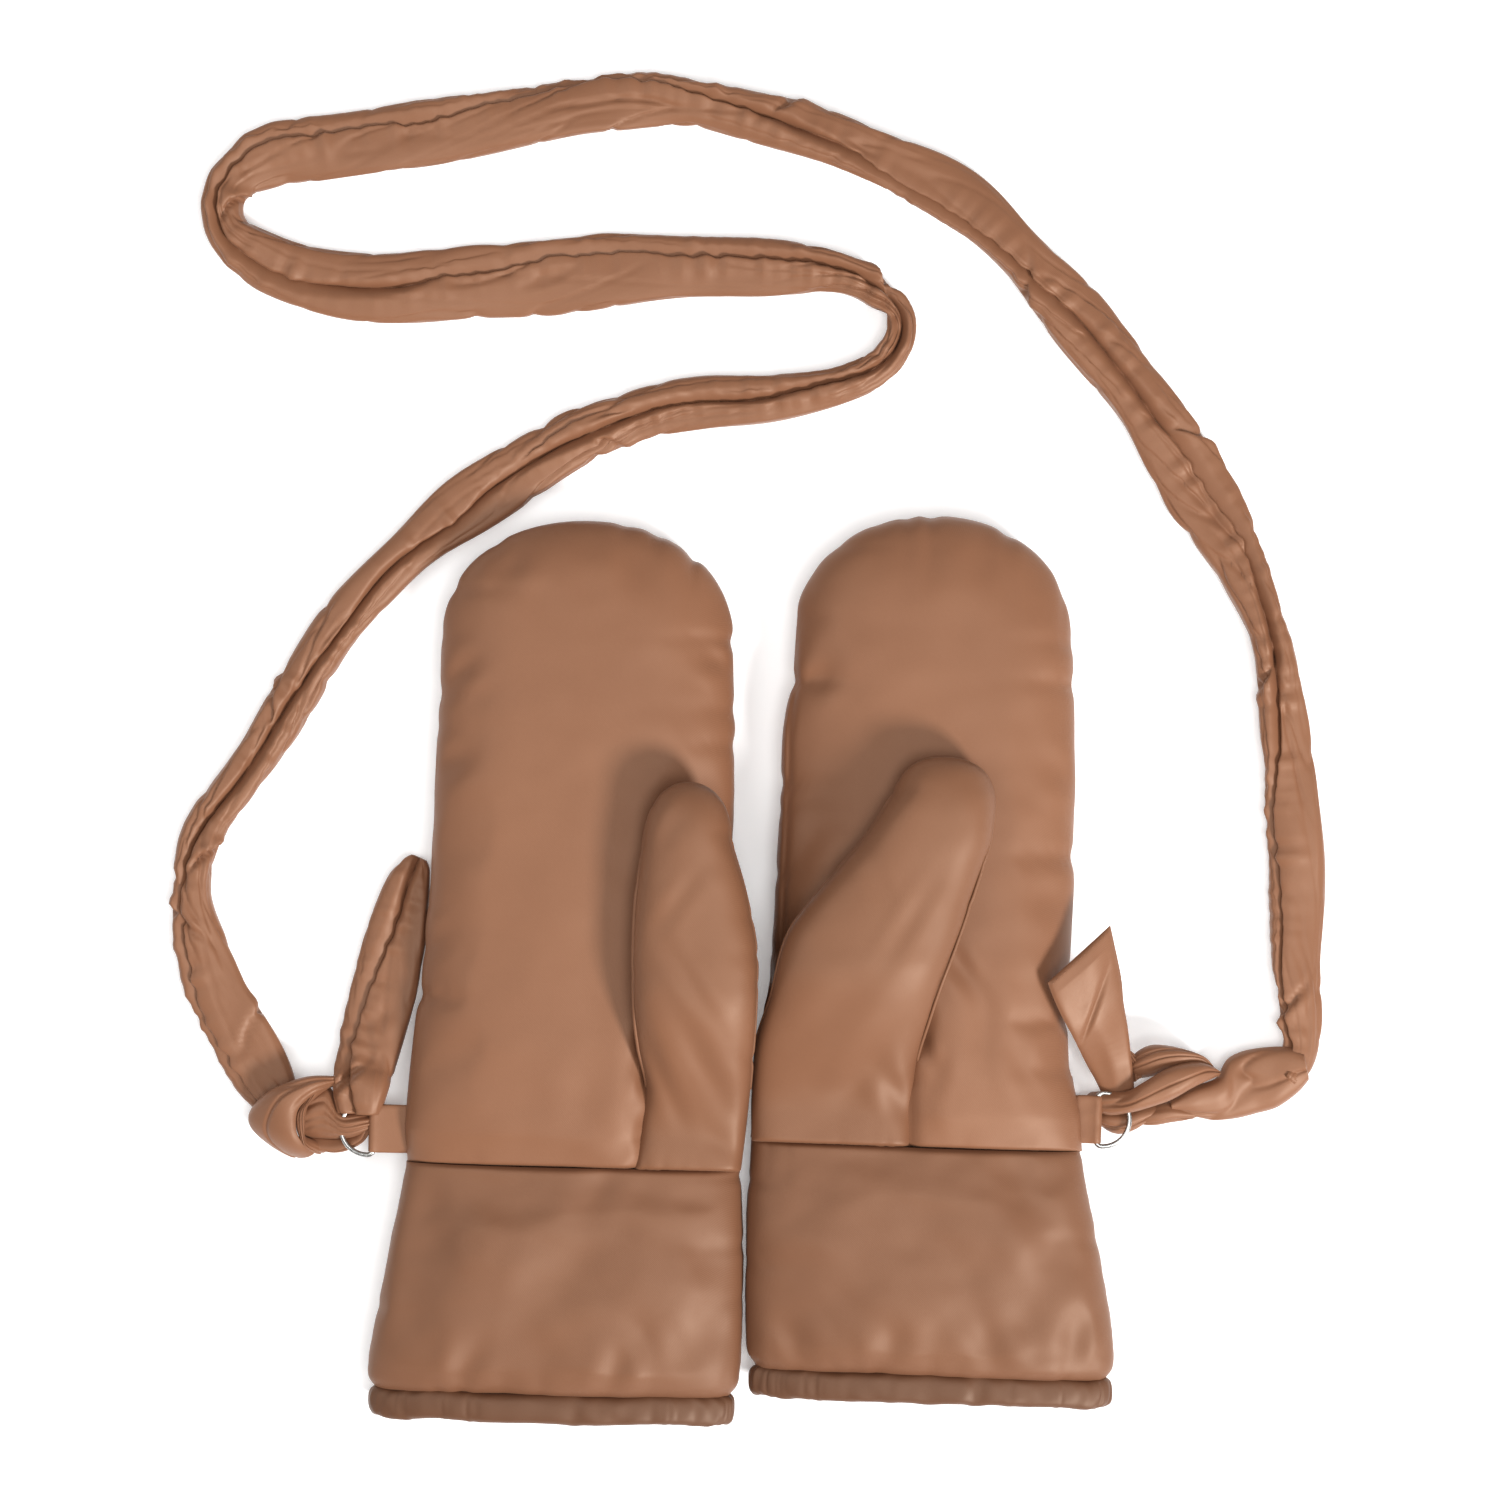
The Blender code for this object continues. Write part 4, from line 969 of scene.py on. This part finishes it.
# each pass: its thickness, how far it bulges, and the pairs of points down its two edges
PASSES = {
    "left": {
        "front": (
            0.0042, 0.0022,
            [((-0.16, -0.0403, 0.011), (-0.1595, -0.0438, 0.012)),
             ((-0.1698, -0.0396, 0.016), (-0.1663, -0.0463, 0.0175)),
             ((-0.1781, -0.0419, 0.017), (-0.1708, -0.0492, 0.019)),
             ((-0.1863, -0.0458, 0.0155), (-0.174, -0.0531, 0.02)),
             ((-0.1934, -0.0525, 0.0115), (-0.1748, -0.0584, 0.02)),
             ((-0.1948, -0.0584, 0.009), (-0.174, -0.0637, 0.019)),
             ((-0.1887, -0.0645, 0.007), (-0.171, -0.0676, 0.015)),
             ((-0.181, -0.0692, 0.0045), (-0.1672, -0.0694, 0.0085))]),
        "front_fold": (
            0.0036, 0.001,
            [((-0.1687, -0.0466, 0.015), (-0.1624, -0.0443, 0.0145)),
             ((-0.1722, -0.0501, 0.017), (-0.1692, -0.0501, 0.0165)),
             ((-0.1748, -0.0548, 0.018), (-0.171, -0.0543, 0.0175)),
             ((-0.175, -0.0596, 0.018), (-0.1715, -0.0596, 0.0172)),
             ((-0.1736, -0.0643, 0.0165), (-0.1712, -0.0645, 0.0158)),
             ((-0.1708, -0.068, 0.012), (-0.1661, -0.0676, 0.0115)),
             ((-0.1687, -0.0699, 0.007), (-0.1637, -0.0683, 0.007))]),
        "core": (
            0.007, 0.003,
            [((-0.1745, -0.0492, 0.01), (-0.1745, -0.0645, 0.009)),
             ((-0.1628, -0.044, 0.011), (-0.1628, -0.0652, 0.011)),
             ((-0.1575, -0.0537, 0.013), (-0.1551, -0.0648, 0.012)),
             ((-0.151, -0.0543, 0.0125), (-0.1501, -0.0633, 0.0115)),
             ((-0.1457, -0.0543, 0.01), (-0.1463, -0.0601, 0.0095))]),
        "under": (
            0.005, 0.0016,
            [((-0.1745, -0.0637, 0.009), (-0.1728, -0.0676, 0.007)),
             ((-0.1663, -0.0652, 0.0105), (-0.1651, -0.068, 0.0075)),
             ((-0.1592, -0.0657, 0.0115), (-0.1575, -0.0687, 0.008)),
             ((-0.1522, -0.0634, 0.0125), (-0.1503, -0.0657, 0.0095)),
             ((-0.1496, -0.0596, 0.0135), (-0.1465, -0.0605, 0.011)),
             ((-0.1489, -0.0558, 0.012), (-0.1455, -0.0548, 0.01))]),
    },
    "right": {
        "front": (
            0.005, 0.0024,
            [((0.1426, -0.0467, 0.009), (0.1438, -0.0514, 0.008)),
             ((0.1477, -0.0459, 0.014), (0.15, -0.0552, 0.012)),
             ((0.1565, -0.0456, 0.018), (0.1577, -0.0544, 0.0155)),
             ((0.163, -0.042, 0.02), (0.1659, -0.052, 0.018)),
             ((0.1718, -0.0367, 0.0205), (0.1742, -0.0491, 0.019)),
             ((0.18, -0.0341, 0.019), (0.1818, -0.0447, 0.018)),
             ((0.1865, -0.034, 0.0155), (0.1883, -0.042, 0.0155)),
             ((0.1912, -0.0385, 0.011), (0.192, -0.0408, 0.011))]),
        "top_loop": (
            0.006, 0.0024,
            [((0.1603, -0.0332, 0.008), (0.163, -0.0408, 0.012)),
             ((0.163, -0.0294, 0.0105), (0.1677, -0.0397, 0.0145)),
             ((0.1683, -0.0273, 0.012), (0.173, -0.0373, 0.0155)),
             ((0.1759, -0.0283, 0.0125), (0.1789, -0.0361, 0.0155)),
             ((0.1836, -0.0318, 0.012), (0.1848, -0.0363, 0.014)),
             ((0.1889, -0.0358, 0.0105), (0.1883, -0.0391, 0.012)),
             ((0.1916, -0.0393, 0.0085), (0.1906, -0.0405, 0.0095))]),
        "tail_fold": (
            0.005, 0.0012,
            [((0.1559, -0.0276, 0.011), (0.1575, -0.032, 0.012)),
             ((0.1606, -0.0311, 0.0115), (0.1583, -0.0356, 0.0125)),
             ((0.1638, -0.0338, 0.0115), (0.1591, -0.0385, 0.0125)),
             ((0.1638, -0.0388, 0.011), (0.1591, -0.0426, 0.012))]),
        "low_left": (
            0.006, 0.002,
            [((0.1466, -0.0526, 0.008), (0.1473, -0.0561, 0.006)),
             ((0.1506, -0.0538, 0.01), (0.1495, -0.0605, 0.0055)),
             ((0.1565, -0.0538, 0.011), (0.1539, -0.0628, 0.0055)),
             ((0.163, -0.052, 0.011), (0.1591, -0.0614, 0.006)),
             ((0.1695, -0.0503, 0.01), (0.1636, -0.0573, 0.007))]),
        "low_middle": (
            0.0056, 0.0018,
            [((0.1624, -0.0544, 0.009), (0.163, -0.0567, 0.006)),
             ((0.1689, -0.0518, 0.011), (0.168, -0.0588, 0.0058)),
             ((0.1753, -0.0506, 0.0115), (0.1742, -0.0583, 0.0058)),
             ((0.1812, -0.0514, 0.0105), (0.1795, -0.057, 0.006)),
             ((0.1859, -0.052, 0.009), (0.1826, -0.055, 0.0065))]),
        "last_turn": (
            0.0074, 0.0012,
            [((0.1742, -0.0485, 0.011), (0.1753, -0.052, 0.009)),
             ((0.1824, -0.0445, 0.0125), (0.1836, -0.0556, 0.007)),
             ((0.19, -0.0424, 0.012), (0.1906, -0.0577, 0.006)),
             ((0.1944, -0.04, 0.011), (0.1977, -0.058, 0.0058)),
             ((0.1977, -0.0338, 0.0085), (0.2036, -0.0571, 0.006)),
             ((0.2036, -0.0304, 0.008), (0.2095, -0.0556, 0.0062)),
             ((0.2118, -0.0287, 0.0085), (0.2183, -0.053, 0.0065)),
             ((0.2224, -0.0283, 0.01), (0.2265, -0.0471, 0.0075)),
             ((0.2289, -0.0306, 0.011), (0.2312, -0.0414, 0.0085))]),
    },
}


def edge_lines(pairs):
    """The two edges as smooth lines of equally many points."""
    edges = [run_through([(*p, 0.0) for p in line], 0.0006) for line in zip(*pairs)]
    count = min(len(e) for e in edges)
    return [[Vector(e[round(k * (len(e) - 1) / (count - 1))][:3]) for k in range(count)] for e in edges]


def folded_strip(name, pairs, thick, puff, seed):
    """A flattened length of the strap between two edges, bulging in the middle."""
    one, other = edge_lines(pairs)
    count = len(one)
    across = 26
    rows = []
    for k in range(count):
        low, high = one[k], other[k]
        before, after = max(k - 1, 0), min(k + 1, count - 1)
        ahead = (one[after] + other[after]) - (one[before] + other[before])
        normal = ahead.cross(high - low).normalized()
        if normal.z < 0:
            normal.negate()
        row = []
        for upper in (True, False):
            for c in range(across + 1):
                s = c / across if upper else 1 - c / across
                here = low.lerp(high, s)
                round_off = (1 - abs(2 * s - 1) ** 4) ** 0.5
                bulge = puff * math.sin(math.pi * s) ** 0.7
                fold = noise.noise(Vector((s * 2.2 + seed, k * 0.01 + s * 0.8, seed)))
                fold = (1 - min(1.0, abs(fold) * 6.0)) ** 2 * 0.0012 * round_off
                wave = noise.noise(Vector((s * 2.0, k * 0.05, seed + 5))) * 0.0007
                lift = thick / 2 * round_off
                out = lift + bulge - fold + wave if upper else -lift + wave
                row.append(here + normal * out)
        rows.append(row)
    return closed_rows(name, rows)


for side in ("left", "right"):
    bm = bmesh.new()
    for number, (name, (thick, puff, pairs)) in enumerate(PASSES[side].items()):
        part = folded_strip(f"{side}_{name}", pairs, thick, puff, 3.0 + number * 4.0)
        bm.from_mesh(part.data)
        bpy.data.objects.remove(part)
    knot = new_mesh_object(side + "_knot_wraps", bm)
    keep_off_floor(knot, LOWEST * 1.5)
    smooth_finish(knot)
    knot.data.materials.append(strap_satin)
    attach(knot, "strap")
    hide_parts(side + "_knot")


# ---- tails ----------------------------------------------------------------------------------
# The left tail is a rounded tube end, gathered shut at its tip, with the strap's seam down it. The
# right tail lies flat, its end cut on a slant, turned in and topstitched.

# x, y, height and width down the tail
LEFT_TAIL = [
    (-0.15, -0.0545, 0.015, 0.0175), (-0.1496, -0.045, 0.015, 0.0225),
    (-0.1484, -0.036, 0.0105, 0.025), (-0.1442, -0.02, 0.0075, 0.026),
    (-0.1402, -0.0043, 0.006, 0.0268), (-0.137, 0.01, 0.006, 0.026),
    (-0.1343, 0.0228, 0.006, 0.024), (-0.1312, 0.036, 0.006, 0.0185),
    (-0.128, 0.044, 0.006, 0.012), (-0.1265, 0.0475, 0.006, 0.006),
]
line = run_through([(x, y, z, w) for x, y, z, w in LEFT_TAIL], 0.0012)
places = [Vector(p[:3]) for p in line]
widths = [p[3] for p in line]
thicks = [min(0.0095, 0.0035 + 0.34 * w) for w in widths]
ups = [Vector((-0.15, 0, 1))] * len(places)
left_tail = soft_ribbon("left_tail_tube", places, widths, thicks, ups, 64, 40.0,
                        lambda gone: math.pi / 2 + 0.25 + 0.3 * math.sin(gone * 45), 0.0007)
press_dents(left_tail, [(-0.1557, -0.0413, 42, 0.0079, 0.0014, 0.0034),
                        (-0.147, -0.03, 120, 0.006, 0.003, 0.0012),
                        (-0.142, -0.016, 30, 0.005, 0.003, 0.001)], 1, 0.004)
keep_off_floor(left_tail, LOWEST * 1.5)
left_tail.data.materials.append(strap_satin)
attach(left_tail, "strap")
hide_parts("left_tail")

# pairs of points down the two long edges, from the knot to the slanted end
RIGHT_TAIL = [
    ((0.148, -0.048, 0.011), (0.1605, -0.048, 0.012)),
    ((0.1445, -0.041, 0.0135), (0.16, -0.041, 0.0145)),
    ((0.141, -0.035, 0.0165), (0.1588, -0.032, 0.0165)),
    ((0.1345, -0.023, 0.029), (0.157, -0.02, 0.0215)),
    ((0.13, -0.015, 0.0335), (0.155, -0.01, 0.026)),
    ((0.1262, -0.007, 0.036), (0.1535, 0.002, 0.029)),
    ((0.124, -0.001, 0.037), (0.149, 0.0215, 0.033)),
]
TAIL_PLIES = 0.0032
STITCHES = 15
STITCH_INSET = 0.0016
outer_edge, inner_edge = edge_lines(RIGHT_TAIL)
count = len(outer_edge)
rows = []
across = 40
for k in range(count):
    low, high = outer_edge[k], inner_edge[k]
    share = k / (count - 1)
    row = []
    for upper in (True, False):
        for c in range(across + 1):
            s = c / across if upper else 1 - c / across
            here = low.lerp(high, s)
            round_off = (1 - abs(2 * s - 1) ** 6) ** 0.5 * min(1.0, ((1 - share) / 0.03 + 0.02) ** 0.5)
            puff = 0.0018 * math.sin(math.pi * s) ** 0.6 * min(1.0, (1 - share) / 0.10)
            crease = abs((share - 0.45) - (s * 0.42)) / 0.035
            crease = math.exp(-crease ** 2) * math.sin(math.pi * min(1, s * 1.1)) * 0.0014
            wave = noise.noise(Vector((s * 2.2, share * 3.4, 8.0))) * 0.0014
            lift = TAIL_PLIES / 2 * round_off + puff * (1 if upper else 0.2)
            z = here.z + wave + (lift - crease if upper else -lift)
            row.append(Vector((here.x, here.y, z)))
    rows.append(row)
right_tail = closed_rows("right_tail_strip", rows)
bm = bmesh.new()
bm.from_mesh(right_tail.data)
low, high = outer_edge[-1], inner_edge[-1]
back = (outer_edge[-8] - outer_edge[-1]).normalized()
for k in range(STITCHES):
    s0, s1 = (k + 0.2) / STITCHES, (k + 0.8) / STITCHES
    a = low.lerp(high, 0.03 + 0.94 * s0) + back * STITCH_INSET
    b = low.lerp(high, 0.03 + 0.94 * s1) + back * STITCH_INSET
    wave = noise.noise(Vector(((s0 + s1) / 2 * 2.2, 3.3, 8.0))) * 0.0014
    middle = (a + b) / 2 + Vector((0, 0, TAIL_PLIES / 2 + 0.0009 + wave))
    turn = (b - a).to_track_quat("X", "Z").to_matrix().to_4x4()
    size = Matrix.Diagonal(((b - a).length / 2, 0.00022, 0.00018, 1))
    bmesh.ops.create_uvsphere(bm, u_segments=10, v_segments=6, radius=1,
                              matrix=Matrix.Translation(middle) @ turn @ size)
for face in bm.faces:
    face.smooth = True
bm.to_mesh(right_tail.data)
bm.free()
right_tail.data.materials.append(strap_satin)
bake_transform(right_tail)
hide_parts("right_tail")


# ---- floor, light and camera ----------------------------------------------------------------
# The pair lies on a plain white floor under soft light, looked at from straight above.

bpy.ops.mesh.primitive_plane_add(size=24, location=(0, 0.09, -0.0002))
floor = bpy.context.object
floor.name = "floor"
paper, tree, shader = new_material("white_floor")
set_inputs(tree, shader, {
    "Base Color": (0.94, 0.94, 0.94, 1), "Roughness": 0.9,
    "Emission Color": (1, 1, 1, 1), "Emission Strength": 0.22})
floor.data.materials.append(paper)


def softbox(name, place, aim, size, power):
    bpy.ops.object.light_add(type="AREA", location=place)
    lamp = bpy.context.object
    lamp.name = name
    lamp.data.shape = "DISK"
    lamp.data.size = size
    lamp.data.energy = power
    lamp.rotation_euler = (Vector(aim) - Vector(place)).to_track_quat("-Z", "Y").to_euler()
    return lamp


key = softbox("key_light", (1.53, -1.44, 1.71), (0.0, 0.05, 0.0), 0.62, 92)
fill = softbox("fill_light", (-0.9, 0.3, 1.4), (0.0, 0.09, 0.0), 1.2, 9)
top = softbox("top_light", (0.3, -0.2, 1.9), (0.0, 0.0, 0.0), 0.8, 14)
world = bpy.data.worlds.new("studio")
bpy.context.scene.world = world
world.use_nodes = True
world.node_tree.nodes["Background"].inputs["Color"].default_value = (1, 1, 1, 1)
world.node_tree.nodes["Background"].inputs["Strength"].default_value = 0.45
bpy.context.scene.view_settings.view_transform = "Standard"

bpy.ops.object.camera_add(location=(0.0064, 0.0908, 1.6825), rotation=(0, 0, 0))
camera = bpy.context.object
camera.name = "camera"
camera.data.lens = 100
camera.data.sensor_width = 36
camera.data.clip_start = 0.05
camera.data.clip_end = 20
bpy.context.scene.camera = camera
